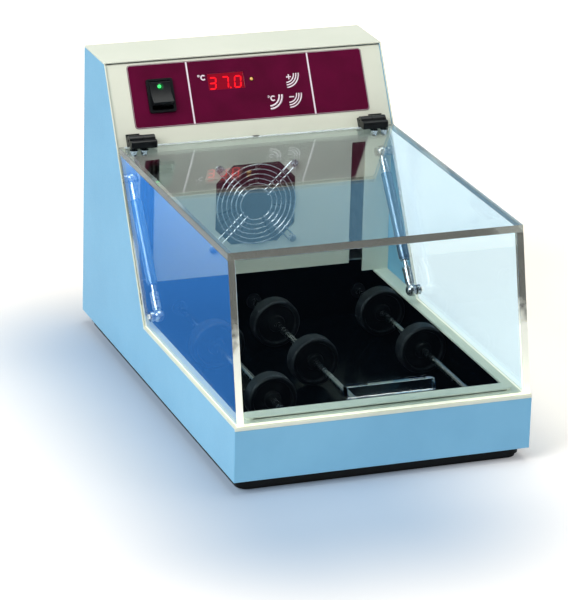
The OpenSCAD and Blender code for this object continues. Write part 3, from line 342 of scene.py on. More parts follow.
# %% Sawn edges
def sawn(name, tint, glow, roughness, dark_z, bright_z):
    """A frosted edge with a painted glow that grows towards bright_z; it stays glassy near
    dark_z.
    """
    material, tree = new_material(name)
    place = add(tree, "ShaderNodeTexCoord")
    teeth = add(tree, "ShaderNodeTexNoise", {
        "Vector": place.outputs["Object"], "Scale": 1 / (2.5 * MM), "Detail": 3.0})
    bump = add(tree, "ShaderNodeBump", {
        "Height": teeth.outputs["Fac"], "Distance": 0.05 * MM})
    frosted = add(tree, "ShaderNodeBsdfPrincipled", {
        "Base Color": linear(tint), "Roughness": roughness, "IOR": ACRYLIC_IOR,
        "Transmission Weight": 1.0, "Normal": bump.outputs["Normal"]})
    inside = add(tree, "ShaderNodeBsdfTranslucent", {"Color": linear(glow)})
    # the emission is painted glow, standing in for light piped along the sheet
    painted_glow = add(tree, "ShaderNodeEmission", {"Color": linear(glow), "Strength": 0.5})
    lit = add(tree, "ShaderNodeAddShader", {
        0: inside.outputs["BSDF"], 1: painted_glow.outputs["Emission"]})
    parts = add(tree, "ShaderNodeSeparateXYZ", {"Vector": place.outputs["Object"]})
    painted_glow_streaks = add(tree, "ShaderNodeTexNoise", {
        "Vector": place.outputs["Object"], "Scale": 1 / (14 * MM), "Detail": 2.0})
    painted_glow_wander = add(tree, "ShaderNodeMapRange", {
        "Value": painted_glow_streaks.outputs["Fac"], "To Min": -30 * MM, "To Max": 30 * MM})
    level = add(tree, "ShaderNodeMath", {
        0: parts.outputs["Z"], 1: painted_glow_wander.outputs["Result"]}, operation="ADD")
    # the painted glow is strongest low on the lid's edges and weakest high up
    painted_glow_share = add(tree, "ShaderNodeMapRange", {
        "Value": level.outputs["Value"], "From Min": dark_z, "From Max": bright_z,
        "To Min": 0.16, "To Max": 0.9}, interpolation_type="SMOOTHSTEP")
    edge = add(tree, "ShaderNodeMixShader", {
        0: painted_glow_share.outputs["Result"], 1: frosted.outputs["BSDF"], 2: lit.outputs["Shader"]})
    add(tree, "ShaderNodeOutputMaterial", {"Surface": edge.outputs["Shader"]})
    return material


front_low, front_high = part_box("lid_front_panel")
front_height = front_high[2] - front_low[2]
sawn_edge_with_painted_glow = sawn("sawn_acrylic_edge", "#E6F3EC", "#FFFCF0", 0.06,
                 front_low[2] + 0.62 * front_height, front_low[2] + 0.42 * front_height)
print("sawn edges of acrylic")

# %% [markdown]
# ## Lights on the panel
# The display is a red window over light-emitting digits, and a small amber light stands
# beside it. A lens is clear plastic with its colour all the way through, so it gets its
# glow from inside: a plain emission that is strongest where the lamp is.

# %% Lenses and glow
def glowing(name, colour, glow, strength, roughness=0.2):
    """A coloured lens with a light behind it."""
    material, tree = new_material(name)
    place = add(tree, "ShaderNodeTexCoord")
    grain = add(tree, "ShaderNodeTexNoise", {
        "Vector": place.outputs["Object"], "Scale": 1 / (1.5 * MM), "Detail": 2.0})
    level = add(tree, "ShaderNodeMapRange", {
        "Value": grain.outputs["Fac"], "From Min": 0.3, "From Max": 0.7,
        "To Min": roughness - 0.04, "To Max": roughness + 0.06})
    surface = add(tree, "ShaderNodeBsdfPrincipled", {
        "Base Color": linear(colour), "Roughness": level.outputs["Result"], "IOR": 1.49,
        "Emission Color": linear(glow), "Emission Strength": strength})
    add(tree, "ShaderNodeOutputMaterial", {"Surface": surface.outputs["BSDF"]})
    return material


finishes["display_window"] = glowing("red_window", "#3C020C", "#8E0822", 0.85)
finishes["amber_lens"] = glowing("amber_lens", "#E0B070", "#F0C060", 0.35)
digit_glow = glowing("digit_light", "#F0101C", "#F5121E", 0.95)
green_glow = glowing("green_light", "#3FE070", "#3CE86A", 0.85)
green_lens = glowing("green_lens", "#063A18", "#08642A", 0.35)
print(f"{len(finishes)} finishes in all")

# %% [markdown]
# ## Dress the CAD pieces
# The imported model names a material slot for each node. Each node keeps its mesh, and gets
# the finish of its slot.

# %% Give each node its finish
slot_of = {}
for node, piece in nodes.items():
    slot_of[node] = piece.data.materials[0].name.split(".")[0]
for node, piece in nodes.items():
    piece.data.materials.clear()
    piece.data.materials.append(finishes[slot_of[node]])
print(f"{len(set(slot_of.values()))} finishes on {len(slot_of)} nodes")

# %% [markdown]
# ## Edges that catch the light
# No real edge is perfectly sharp: folded sheet has a small radius, and sawn acrylic is
# broken with a scraper. A thin bright line along each edge comes from that radius. The
# pieces that show most are therefore copied, their loose triangles are merged back into
# whole faces, and a Bevel modifier rounds the corners. The copy stands for the node.

# %% Rounded copies
def link(name, mesh, materials, body):
    """Puts a finished mesh in the scene as a piece that moves with a body."""
    piece = bpy.data.objects.new(name, mesh)
    which = [face.material_index for face in mesh.polygons]
    mesh.materials.clear()
    for material in materials:
        mesh.materials.append(material)
    mesh.polygons.foreach_set("material_index", which)
    bpy.context.collection.objects.link(piece)
    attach(piece, body)
    return piece


def whole_faces(node):
    """A copy of a node's mesh with its triangles merged into flat faces."""
    mesh = nodes[node].data.copy()
    shell = bmesh.new()
    shell.from_mesh(mesh)
    bmesh.ops.remove_doubles(shell, verts=shell.verts, dist=0.002 * MM)
    bmesh.ops.dissolve_limit(
        shell, angle_limit=math.radians(0.4), verts=shell.verts, edges=shell.edges)
    shell.to_mesh(mesh)
    shell.free()
    if "custom_normal" in mesh.attributes:
        mesh.attributes.remove(mesh.attributes["custom_normal"])
    mesh.shade_smooth()
    return mesh


def rounded(node, radius_mm, steps=2, mesh=None, materials=None):
    """A copy of a node with its edges rounded, which stands for the node."""
    piece = link(node + "_rounded", mesh or whole_faces(node),
                 materials or [finishes[slot_of[node]]],
                 nodes[node]["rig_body"])
    edges = piece.modifiers.new("broken_edges", "BEVEL")
    edges.width = radius_mm * MM
    edges.segments = steps
    edges.limit_method = "ANGLE"
    edges.angle_limit = math.radians(40)
    edges.harden_normals = True
    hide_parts(node)
    return piece


EDGE_RADIUS_MM = {
    "left_side_panel": 0.35, "right_side_panel": 0.35, "front_panel": 0.35,
    "tower_roof": 0.5, "fascia_panel": 0.3, "chamber_top_frame": 0.3,
    "base_pan": 0.5, "switch_bezel": 0.5, "switch_rocker": 0.4,
    "tower_hinge_leaves": 0.4, "lid_hinge_leaves": 0.4, "mains_inlet": 0.4,
}
for node, radius in EDGE_RADIUS_MM.items():
    mesh = whole_faces(node)
    materials = [finishes[slot_of[node]]]
    if node in ("left_side_panel", "right_side_panel"):
        # the sloping edge keeps the cream of the coat, like the sheets that meet it; the
        # broad faces carry the painted blue light
        materials.append(finishes["cream_enamel"])
        for face in mesh.polygons:
            narrow = abs(face.normal.x) < 0.5 and face.center.z > LEDGE_Z + 5 * MM
            face.material_index = 1 if narrow else 0
    rounded(node, radius, 2, mesh, materials)
print(f"{len(EDGE_RADIUS_MM)} pieces with rounded edges")

# %% Wheels in two materials
TYRE_DEPTH = 4.6 * MM
for node in ("left_wheels", "centre_wheels", "right_wheels"):
    low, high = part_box(node)
    axis_x, axis_z = (low.x + high.x) / 2, (low.z + high.z) / 2
    mesh = whole_faces(node)
    for face in mesh.polygons:
        out = math.hypot(face.center.x - axis_x, face.center.z - axis_z)
        # faces near the rim get the lighter tyre finish, which carries a painted sheen
        face.material_index = 0 if out > (high.x - low.x) / 2 - TYRE_DEPTH else 1
    rounded(node, 0.3, 2, mesh, [finishes["wheel_rubber"], wheel_hub])
print("rubber tyres on moulded hubs")

# %% [markdown]
# ## The clear lid
# Four sheets of acrylic are cemented edge to face. Two touching glass faces would confuse
# the light that crosses them, so each sheet is drawn back from its joints by a few
# hundredths of a millimetre. The broad faces are polished, and the narrow ones get the
# sawn finish, whose painted glow draws the pale outline of the lid.

# %% Lid sheets
JOINT_GAP = 0.03 * MM


def clear_sheet(node, sides_back, top_back):
    """An acrylic sheet with sawn edges, drawn back from its joints."""
    mesh = whole_faces(node)
    low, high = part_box(node)
    for vertex in mesh.vertices:
        if sides_back and min(vertex.co.x - low.x, high.x - vertex.co.x) < JOINT_GAP:
            vertex.co.x -= math.copysign(JOINT_GAP, vertex.co.x)
        if top_back and high.z - vertex.co.z < JOINT_GAP:
            vertex.co.z -= JOINT_GAP
    broad = max(mesh.polygons, key=lambda face: face.area).normal.copy()
    for face in mesh.polygons:
        face.material_index = 0 if abs(face.normal.dot(broad)) > 0.98 else 1
    return rounded(node, 0.35, 2, mesh, [finishes["clear_acrylic"], sawn_edge_with_painted_glow])


clear_sheet("lid_top_panel", False, False)
clear_sheet("lid_front_panel", True, True)
clear_sheet("lid_left_panel", False, True)
clear_sheet("lid_right_panel", False, True)
rounded("lid_handle", 0.4)
print("four sheets and the handle of acrylic")

# %% [markdown]
# ## Ink on the panel
# The overlay is polyester film, printed from behind in maroon and white. The white marks
# are two dividers, the unit beside the display, and the signs on the keys. A pale line
# round the edge is a painted highlight where the film's cut edge catches the light. Each is
# a stroke of even width along a path, so one function draws them all: it walks along the
# path, sets two rails at half the width, and gives the band a few hundredths of a
# millimetre of height so that it never shares a face with the film.

# %% Strokes
FILM_TOP = -1.0
INK = 0.04
white_ink = finish(
    "white_ink", "#F3E6EE", "#EBDAE4", 0.4, 0.5, 0.004, blotch_mm=8, gloss_change=0.04)
# the pale line round the overlay is a painted highlight on the film's cut edge, drawn like
# ink
edge_highlight_paint = finish(
    "pale_border_ink", "#B9A5AD", "#AD979F", 0.4, 0.5, 0.004, blotch_mm=8)


def stroke(shell, path, width, low, high, closed=False):
    """A flat band of even width along a path on the panel, in millimetres."""
    count = len(path)
    rings = []
    for i, (x, y) in enumerate(path):
        before = path[i - 1] if i or closed else path[i]
        after = path[(i + 1) % count] if i < count - 1 or closed else path[i]
        run = Vector((after[0] - before[0], after[1] - before[1])).normalized()
        side = Vector((-run.y, run.x)) * width / 2
        rings.append([shell.verts.new((x + s * side.x, y + s * side.y, z))
                      for s, z in ((1, low), (-1, low), (-1, high), (1, high))])
    for one, two in zip(rings, rings[1:] + rings[:1] if closed else rings[1:]):
        for k in range(4):
            shell.faces.new((one[k], one[k - 1], two[k - 1], two[k]))
    if not closed:
        shell.faces.new(rings[0])
        shell.faces.new(rings[-1])


def arc(x, y, radius, start, end, steps=16):
    """Points along an arc, from one angle to another in degrees."""
    angles = [math.radians(start + (end - start) * k / steps) for k in range(steps + 1)]
    return [(x + radius * math.cos(a), y + radius * math.sin(a)) for a in angles]


def on_panel(name, shell, material, body):
    """Stands a flat drawing on the sloping panel as a finished piece."""
    bmesh.ops.recalc_face_normals(shell, faces=shell.faces)
    mesh = bpy.data.meshes.new(name)
    shell.to_mesh(mesh)
    shell.free()
    mesh.transform(SLOPE_PLACE @ Matrix.Scale(MM, 4))
    return link(name, mesh, [material], body)


# %% Border, dividers and unit
PANEL_X, PANEL_LOW, PANEL_HIGH = 111.9, 176.92, 235.22
BORDER_IN, BORDER_WIDE, BORDER_CORNER = 0.55, 0.45, 2.6
edge_x, edge_low = PANEL_X - BORDER_IN, PANEL_LOW + BORDER_IN
edge_high = PANEL_HIGH - BORDER_IN
corner_x = edge_x - BORDER_CORNER
border = bmesh.new()
stroke(border, (
    arc(corner_x, edge_high - BORDER_CORNER, BORDER_CORNER, 0, 90, 8)
    + arc(-corner_x, edge_high - BORDER_CORNER, BORDER_CORNER, 90, 180, 8)
    + arc(-corner_x, edge_low + BORDER_CORNER, BORDER_CORNER, 180, 270, 8)
    + arc(corner_x, edge_low + BORDER_CORNER, BORDER_CORNER, 270, 360, 8)
), BORDER_WIDE, FILM_TOP, FILM_TOP + INK, closed=True)
on_panel("panel_border", border, edge_highlight_paint, "casing")

DIVIDERS_X, DIVIDER_WIDE = (-56.2, 59.4), 1.5
marks = bmesh.new()
for x in DIVIDERS_X:
    stroke(marks, [(x, PANEL_LOW + 0.3), (x, PANEL_HIGH - 0.3)], DIVIDER_WIDE,
           FILM_TOP, FILM_TOP + INK)


def unit_sign(shell, x, y, height):
    """A degree ring and a letter C; x and y are the letter's middle."""
    radius = height / 2
    stroke(shell, arc(x, y, radius * 0.78, 42, 318, 24), height * 0.24,
           FILM_TOP, FILM_TOP + INK)
    stroke(shell, arc(x - height * 0.8, y + height * 0.34, height * 0.15, 0, 345, 14),
           height * 0.12, FILM_TOP, FILM_TOP + INK, closed=True)


unit_sign(marks, -42.0, 218.9, 5.2)
on_panel("panel_marks", marks, white_ink, "casing")
print("border, two dividers and the unit")

# %% [markdown]
# ## Signs on the keys
# Each key has its sign at the upper left and a fan of quarter arcs round it, like ripples.
# The arcs repeat at an even step, which is what Geometry Nodes is for: one quarter arc is
# instanced on a point for each ripple, scaled to its radius, and swept with a flat
# profile. The same tree makes all three keys with other inputs.

# %% A tree for ripples
def set_input(modifier, tree, name, value):
    """Sets a modifier's input by the socket's identifier."""
    socket = next(s for s in tree.interface.items_tree
                  if s.item_type == "SOCKET" and s.in_out == "INPUT" and s.name == name)
    modifier[socket.identifier] = value


def new_tree(name, sockets):
    """A geometry tree with named inputs and one geometry output."""
    tree = bpy.data.node_groups.new(name, "GeometryNodeTree")
    for socket, kind in sockets:
        tree.interface.new_socket(socket, in_out="INPUT", socket_type="NodeSocket" + kind)
    tree.interface.new_socket(
        "Geometry", in_out="OUTPUT", socket_type="NodeSocketGeometry")
    return tree, add(tree, "NodeGroupInput").outputs


def end_tree(tree, geometry, material):
    """Ends a tree with real geometry and its material."""
    real = add(tree, "GeometryNodeRealizeInstances", {"Geometry": geometry})
    dressed = add(tree, "GeometryNodeSetMaterial", {
        "Geometry": real.outputs["Geometry"], "Material": material})
    add(tree, "NodeGroupOutput", {"Geometry": dressed.outputs["Geometry"]})


def grown(name, tree, values):
    """Runs a tree on an empty mesh and returns the plain mesh it makes."""
    seed = bpy.data.objects.new(name + "_seed", bpy.data.meshes.new(name + "_seed"))
    bpy.context.collection.objects.link(seed)
    modifier = seed.modifiers.new("tree", "NODES")
    modifier.node_group = tree
    for socket, value in values.items():
        set_input(modifier, tree, socket, value)
    shown = seed.evaluated_get(bpy.context.evaluated_depsgraph_get())
    mesh = bpy.data.meshes.new_from_object(shown)
    bpy.data.objects.remove(seed)
    mesh.name = name
    return mesh


ripples, given = new_tree("ripples", [
    ("Count", "Int"), ("First radius", "Float"), ("Step", "Float"), ("Line", "Float"),
    ("Height", "Float"), ("Material", "Material")])
points = add(ripples, "GeometryNodePoints", {"Count": given["Count"]})
index = add(ripples, "GeometryNodeInputIndex")
radius = add(ripples, "ShaderNodeMath", {
    0: index.outputs["Index"], 1: given["Step"], 2: given["First radius"]},
    operation="MULTIPLY_ADD")
quarter = add(ripples, "GeometryNodeCurveArc", {
    "Resolution": 20, "Radius": 1.0, "Start Angle": math.radians(-90),
    "Sweep Angle": math.radians(90)})
fan = add(ripples, "GeometryNodeInstanceOnPoints", {
    "Points": points.outputs[0], "Instance": quarter.outputs["Curve"],
    "Scale": radius.outputs["Value"]})
curves = add(ripples, "GeometryNodeRealizeInstances", {
    "Geometry": fan.outputs["Instances"]})
line = add(ripples, "GeometryNodeCurvePrimitiveQuadrilateral", {
    "Width": given["Line"], "Height": given["Height"]})
bands = add(ripples, "GeometryNodeCurveToMesh", {
    "Curve": curves.outputs["Geometry"], "Profile Curve": line.outputs["Curve"],
    "Fill Caps": True})
end_tree(ripples, bands.outputs["Mesh"], given["Material"])

# %% Signs and ripples on the keys
KEY_TOP = -0.9


def key_marks(name, body, x, y, sign, count, first, step):
    """The sign and the ripples of one key; x and y are the ripples' common centre."""
    shell = bmesh.new()
    sign_x, sign_y = x + 3.0, y - 3.0
    if sign == "unit":
        unit_sign(shell, x + 3.7, y - 3.0, 5.2)
    else:
        stroke(shell, [(sign_x - 2.3, sign_y), (sign_x + 2.3, sign_y)], 1.1,
               FILM_TOP, FILM_TOP + INK)
    if sign == "plus":
        for end in (-1, 1):
            stroke(shell, [(sign_x, sign_y + end * 0.56), (sign_x, sign_y + end * 2.3)],
                   1.1, FILM_TOP, FILM_TOP + INK)
    bmesh.ops.translate(shell, verts=shell.verts, vec=(0, 0, KEY_TOP - FILM_TOP))
    fan_mesh = grown(name + "_ripples", ripples, {
        "Count": count, "First radius": first, "Step": step,
        "Line": 1.15 if sign != "unit" else 1.6, "Height": INK, "Material": white_ink})
    fan_mesh.transform(Matrix.Translation((x, y, KEY_TOP + INK / 2)))
    shell.from_mesh(fan_mesh)
    return on_panel(name, shell, white_ink, body)


key_marks("plus_key_marks", "plus_button", 35.8, 216.5, "plus", 3, 8.1, 2.3)
key_marks("minus_key_marks", "minus_button", 35.8, 197.9, "minus", 3, 8.1, 2.3)
key_marks("temperature_key_marks", "temperature_button", 17.2, 197.9, "unit", 2, 10.0, 2.7)
print("signs and ripples on three keys")

# %% [markdown]
# ## Display and light
# A seven-segment digit is seven bars with pointed ends, leaning a little to the right.
# Each digit lights some of them. The bars stand just above the window, so their glow is
# seen as behind clear plastic. The amber light has a bright metal ring.

# %% Digits
DIGIT_WIDE, DIGIT_HIGH, DIGIT_LEAN = 7.1, 11.6, math.tan(math.radians(6.4))
DIGIT_PITCH, DIGIT_X, DIGIT_LOW = 11.9, -37.8, 207.3
BAR, BAR_GAP = 1.35, 0.2
WINDOW_TOP = -1.5
LIT = {"3": "abcdg", "7": "abc", "0": "abcdef"}
BAR_ENDS = {
    "a": (0, 1, 1, 1), "b": (1, 0.5, 1, 1), "c": (1, 0, 1, 0.5), "d": (0, 0, 1, 0),
    "e": (0, 0, 0, 0.5), "f": (0, 0.5, 0, 1), "g": (0, 0.5, 1, 0.5)}


def plate(shell, outline, low, high):
    """Raises a flat outline into a thin plate."""
    bottom = [shell.verts.new((x, y, low)) for x, y in outline]
    top = [shell.verts.new((x, y, high)) for x, y in outline]
    shell.faces.new(bottom)
    shell.faces.new(top)
    for k in range(len(outline)):
        shell.faces.new((bottom[k - 1], bottom[k], top[k], top[k - 1]))


def bar_outline(x, segment):
    """The six corners of one lit bar of the digit that starts at x."""
    wide, high = DIGIT_WIDE - BAR, DIGIT_HIGH - BAR
    x0, y0, x1, y1 = BAR_ENDS[segment]
    start = Vector((x0 * wide, y0 * high))
    end = Vector((x1 * wide, y1 * high))
    run = (end - start).normalized()
    side = Vector((-run.y, run.x)) * BAR / 2
    start, end = start + run * BAR_GAP, end - run * BAR_GAP
    corners = [start, start + run * BAR / 2 + side, end - run * BAR / 2 + side, end,
               end - run * BAR / 2 - side, start + run * BAR / 2 - side]
    return [(x + BAR / 2 + c.x + (c.y + BAR / 2) * DIGIT_LEAN,
             DIGIT_LOW + BAR / 2 + c.y) for c in corners]


digits = bmesh.new()
for place, digit in enumerate("370"):
    for segment in LIT[digit]:
        plate(digits, bar_outline(DIGIT_X + place * DIGIT_PITCH, segment),
              WINDOW_TOP, WINDOW_TOP + INK)
point_x = DIGIT_X + DIGIT_PITCH + DIGIT_WIDE + 1.5
plate(digits, arc(point_x, DIGIT_LOW + 0.8, 0.75, 0, 337.5, 15),
      WINDOW_TOP, WINDOW_TOP + INK)
on_panel("display_digits", digits, digit_glow, "casing")

# %% Ring round the amber light
LIGHT_X, LIGHT_UP, RING_IN, RING_OUT = 3.2, 214.4, 1.5, 2.05
ring = bmesh.new()
stroke(ring, arc(LIGHT_X, LIGHT_UP, (RING_IN + RING_OUT) / 2, 0, 345, 23),
       RING_OUT - RING_IN, FILM_TOP, FILM_TOP + 0.35, closed=True)
gold_ring = finish("gilt_ring", "#C9A45A", "#B8934C", 0.22, 1.0, 0.01, metallic=1.0)
on_panel("light_ring", ring, gold_ring, "casing")
print("digits, point and the light's ring")


# %% Green light in the rocker
def dome(shell, x, y, low, radius, rise, rings=5, sides=28):
    """A round lens that stands on the panel: a short rim under a domed top."""
    levels = [(radius, low)] + [
        (radius * math.cos(k * math.pi / 2 / rings), low + rise * (
            0.3 + 0.7 * math.sin(k * math.pi / 2 / rings))) for k in range(rings)]
    turns = [2 * math.pi * k / sides for k in range(sides)]
    loops = [[shell.verts.new((x + r * math.cos(a), y + r * math.sin(a), z)) for a in turns]
             for r, z in levels]
    for one, two in zip(loops, loops[1:]):
        for k in range(sides):
            shell.faces.new((one[k - 1], one[k], two[k], two[k - 1]))
    shell.faces.new(loops[0])
    top = shell.verts.new((x, y, low + rise))
    for k in range(sides):
        shell.faces.new((loops[-1][k - 1], loops[-1][k], top))


ROCKER_X, LENS_UP, ROCKER_FACE = -84.2, 213.3, 2.22
lens_shell = bmesh.new()
dome(lens_shell, ROCKER_X, LENS_UP, ROCKER_FACE - 0.5, 3.3, 0.9)
on_panel("rocker_lens", lens_shell, green_lens, "rocker")
core_shell = bmesh.new()
dome(core_shell, ROCKER_X - 0.9, LENS_UP, ROCKER_FACE, 1.7, 0.75)
on_panel("rocker_glow", core_shell, green_glow, "rocker")
print("green light in the rocker")

# %% Film over the key gaps
# the printed film runs unbroken over the keys, so a thin lip of it covers each gap
LIP_MIDDLE, LIP_WIDE, LIP_CORNER, LIP_LOW = 7.75, 0.9, 2.6, -0.9
lips = bmesh.new()
for x, y in ((42.5, 210.62), (42.5, 191.82), (23.5, 191.82)):
    reach = LIP_MIDDLE - LIP_CORNER
    stroke(lips, (
        arc(x + reach, y + reach, LIP_CORNER, 0, 90, 6)
        + arc(x - reach, y + reach, LIP_CORNER, 90, 180, 6)
        + arc(x - reach, y - reach, LIP_CORNER, 180, 270, 6)
        + arc(x + reach, y - reach, LIP_CORNER, 270, 360, 6)
    ), LIP_WIDE, LIP_LOW, LIP_LOW + INK, closed=True)
on_panel("keypad_film", lips, finishes["printed_film"], "casing")
print("film over three key gaps")

# %% [markdown]
# ## Screws
# The rear panel, the guard and the inlet are held by pan-head screws with a cross recess.
# A lathed head has a cross cut out of it, and Geometry Nodes sets one on every place where
# the CAD model has a screw, at that screw's size and facing the same way.

# %% A screw head
def screw_head(radius, height, shank):
    """A pan head on its shank, in metres; the head stands along z from zero."""
    outline = [(0.55, -shank / height), (0.55, 0.0), (1.0, 0.0), (1.0, 0.35), (0.9, 0.7),
               (0.72, 0.9), (0.4, 0.99)]
    sides, shell = 32, bmesh.new()
    turns = [2 * math.pi * k / sides for k in range(sides)]
    loops = [[shell.verts.new((radius * r * math.cos(a), radius * r * math.sin(a),
                               height * z)) for a in turns] for r, z in outline]
    for one, two in zip(loops, loops[1:]):
        for k in range(sides):
            shell.faces.new((one[k - 1], one[k], two[k], two[k - 1]))
    shell.faces.new(loops[0])
    shell.faces.new(loops[-1])
    bmesh.ops.recalc_face_normals(shell, faces=shell.faces)
    mesh = bpy.data.meshes.new("screw_head")
    shell.to_mesh(mesh)
    shell.free()
    return mesh


def loose_boxes(node):
    """The lowest and highest corner of each separate solid in a node."""
    shell = bmesh.new()
    shell.from_mesh(nodes[node].data)
    bmesh.ops.remove_doubles(shell, verts=shell.verts, dist=0.002 * MM)
    left, boxes = set(shell.verts), []
    while left:
        found, edge = set(), [left.pop()]
        while edge:
            vertex = edge.pop()
            found.add(vertex)
            for near in (e.other_vert(vertex) for e in vertex.link_edges):
                if near not in found:
                    edge.append(near)
        left -= found
        boxes.append(([min(v.co[i] for v in found) for i in range(3)],
                      [max(v.co[i] for v in found) for i in range(3)]))
    shell.free()
    return boxes


def helper(mesh):
    """Puts a mesh in the scene for a tree to read."""
    shape = bpy.data.objects.new(mesh.name, mesh)
    bpy.context.collection.objects.link(shape)
    return shape


# %% A tree that sets screws
screws, given = new_tree("screws", [
    ("Places", "Object"), ("Head", "Object"), ("Height", "Float"), ("Recess long", "Float"),
    ("Recess wide", "Float"), ("Recess deep", "Float"), ("Facing", "Vector"),
    ("Seed", "Int"), ("Material", "Material")])
whole_head = add(screws, "GeometryNodeObjectInfo", {"Object": given["Head"]})
slots = []
for across, along in (("Recess long", "Recess wide"), ("Recess wide", "Recess long")):
    size = add(screws, "ShaderNodeCombineXYZ", {
        "X": given[across], "Y": given[along], "Z": given["Recess deep"]})
    slots.append(add(screws, "GeometryNodeMeshCube", {"Size": size.outputs["Vector"]}))
at_top = add(screws, "ShaderNodeCombineXYZ", {"Z": given["Height"]})
raised = [add(screws, "GeometryNodeTransform", {
    "Geometry": one.outputs["Mesh"], "Translation": at_top.outputs["Vector"]})
    for one in slots]
first_cut = add(screws, "GeometryNodeMeshBoolean", {
    "Mesh 1": whole_head.outputs["Geometry"], "Mesh 2": raised[0].outputs["Geometry"]},
    operation="DIFFERENCE")
second_cut = add(screws, "GeometryNodeMeshBoolean", {
    "Mesh 1": first_cut.outputs["Mesh"], "Mesh 2": raised[1].outputs["Geometry"]},
    operation="DIFFERENCE")
places = add(screws, "GeometryNodeObjectInfo", {"Object": given["Places"]})
heads = add(screws, "GeometryNodeInstanceOnPoints", {
    "Points": places.outputs["Geometry"], "Instance": second_cut.outputs["Mesh"],
    "Rotation": given["Facing"]})
spin = add(screws, "FunctionNodeRandomValue", {
    "Max": 2 * math.pi, "Seed": given["Seed"]}, data_type="FLOAT")
about = add(screws, "ShaderNodeCombineXYZ", {"Z": spin.outputs[1]})
driven = add(screws, "GeometryNodeRotateInstances", {
    "Instances": heads.outputs["Instances"], "Rotation": about.outputs["Vector"],
    "Local Space": True})
end_tree(screws, driven.outputs["Instances"], given["Material"])

# %% Set a head on each screw
HEAD_RATIO, RECESS_LONG, RECESS_WIDE, RECESS_DEEP = 0.6, 1.25, 0.26, 1.3
rear_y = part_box("rear_panel")[0].y
groups = {}
for low, high in loose_boxes("panel_screws"):
    screw_r = (high[0] - low[0]) / 2
    height = HEAD_RATIO * screw_r
    back = high[1] > rear_y
    key = (back, round(screw_r, 5), round(high[1] - low[1] - height, 5))
    groups.setdefault(key, []).append((
        (low[0] + high[0]) / 2, high[1] - height if back else low[1] + height,
        (low[2] + high[2]) / 2))
all_screws = bmesh.new()
for seed, ((back, screw_r, shank), points_at) in enumerate(sorted(groups.items())):
    height = HEAD_RATIO * screw_r
    head = helper(screw_head(screw_r, height, shank))
    spots = bpy.data.meshes.new("screw_places")
    spots.from_pydata(points_at, [], [])
    places_at = helper(spots)
    set_screws = grown("screw_group", screws, {
        "Places": places_at, "Head": head, "Height": height,
        "Recess long": RECESS_LONG * screw_r, "Recess wide": RECESS_WIDE * screw_r,
        "Recess deep": RECESS_DEEP * height, "Seed": seed + 3,
        "Facing": (math.radians(-90 if back else 90), 0, 0),
        "Material": finishes["plated_steel"]})
    all_screws.from_mesh(set_screws)
    bpy.data.objects.remove(head)
    bpy.data.objects.remove(places_at)
screw_mesh = bpy.data.meshes.new("pan_head_screws")
all_screws.to_mesh(screw_mesh)
all_screws.free()
screw_set = link("pan_head_screws", screw_mesh, [finishes["plated_steel"]],
                 "casing")
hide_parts("panel_screws")
print(f"{sum(len(p) for p in groups.values())} screws in {len(groups)} sizes")

# %% [markdown]
# ## Floor and light
# A wide floor lies under the oven. Close to it the floor carries a painted soft blue-grey
# shadow, which fades to white further out. Soft light comes from a large panel on the left,
# a weaker one on the right and one above, and a weak even world fills the shadows. The
# studio has to be white for the eye, darker and bluer in a mirror, and modest as a light,
# so that paint keeps its colour. The kind of ray tells these three apart. Seen through the
# lid, the floor near the oven also gets a painted pale-blue tint.

# %% World
def looked_at(tree, ray):
    """1 for what the camera sees, straight or through the clear lid; else 0."""
    straight = add(tree, "ShaderNodeMath", {
        0: ray.outputs["Is Camera Ray"], 1: ray.outputs["Is Transmission Ray"]},
        operation="MAXIMUM")
    bounced = add(tree, "ShaderNodeMath", {
        0: ray.outputs["Diffuse Depth"], 1: ray.outputs["Glossy Depth"]},
        operation="ADD")
    return add(tree, "ShaderNodeMath", {
        0: straight.outputs["Value"], 1: bounced.outputs["Value"]},
        operation="SUBTRACT", use_clamp=True)


world = bpy.data.worlds.new("studio")
world.use_nodes = True
world.node_tree.nodes.clear()
sky = world.node_tree
ray = add(sky, "ShaderNodeLightPath")
seen = looked_at(sky, ray)
where = add(sky, "ShaderNodeTexCoord")
parts = add(sky, "ShaderNodeSeparateXYZ", {"Vector": where.outputs["Generated"]})
depth = add(sky, "ShaderNodeMapRange", {
    "Value": parts.outputs["Y"], "From Min": -0.5, "From Max": 0.6})
mirrored = add(sky, "ShaderNodeMix", {
    "Factor": depth.outputs["Result"], MIX_A: linear("#1A222C"), MIX_B: linear("#7FB2D2")},
    data_type="RGBA")
fill = add(sky, "ShaderNodeBackground", {"Color": linear("#E9F0F6"), "Strength": 0.28})
mirror = add(sky, "ShaderNodeBackground", {
    "Color": mirrored.outputs[MIX_RESULT], "Strength": 1.0})
white = add(sky, "ShaderNodeBackground", {"Color": linear("#F4FCFF"), "Strength": 1.35})
lighting = add(sky, "ShaderNodeMixShader", {
    0: ray.outputs["Is Glossy Ray"], 1: fill.outputs["Background"],
    2: mirror.outputs["Background"]})
both = add(sky, "ShaderNodeMixShader", {
    0: seen.outputs["Value"], 1: lighting.outputs["Shader"],
    2: white.outputs["Background"]})
add(sky, "ShaderNodeOutputWorld", {"Surface": both.outputs["Shader"]})
bpy.context.scene.world = world


# %% Lamps
def lamp(name, place, size, watts, colour, aim=(0, 0, 0.1)):
    """A square soft light that faces the oven."""
    light = bpy.data.lights.new(name, "AREA")
    light.size = size
    light.energy = watts
    light.color = linear(colour)[:3]
    holder = bpy.data.objects.new(name, light)
    holder.matrix_world = Matrix.Translation(place) @ (
        Vector(aim) - Vector(place)).to_track_quat("-Z", "Y").to_matrix().to_4x4()
    bpy.context.collection.objects.link(holder)
    return holder


lamp("left_panel_light", (-2.2, -0.9, 1.9), 1.6, 62, "#FFFFFF")
lamp("right_panel_light", (1.8, -1.6, 1.3), 1.4, 7, "#F2F6FF")
lamp("top_panel_light", (0.2, 0.05, 2.4), 1.6, 30, "#FFFDF4")

print("three soft lights")

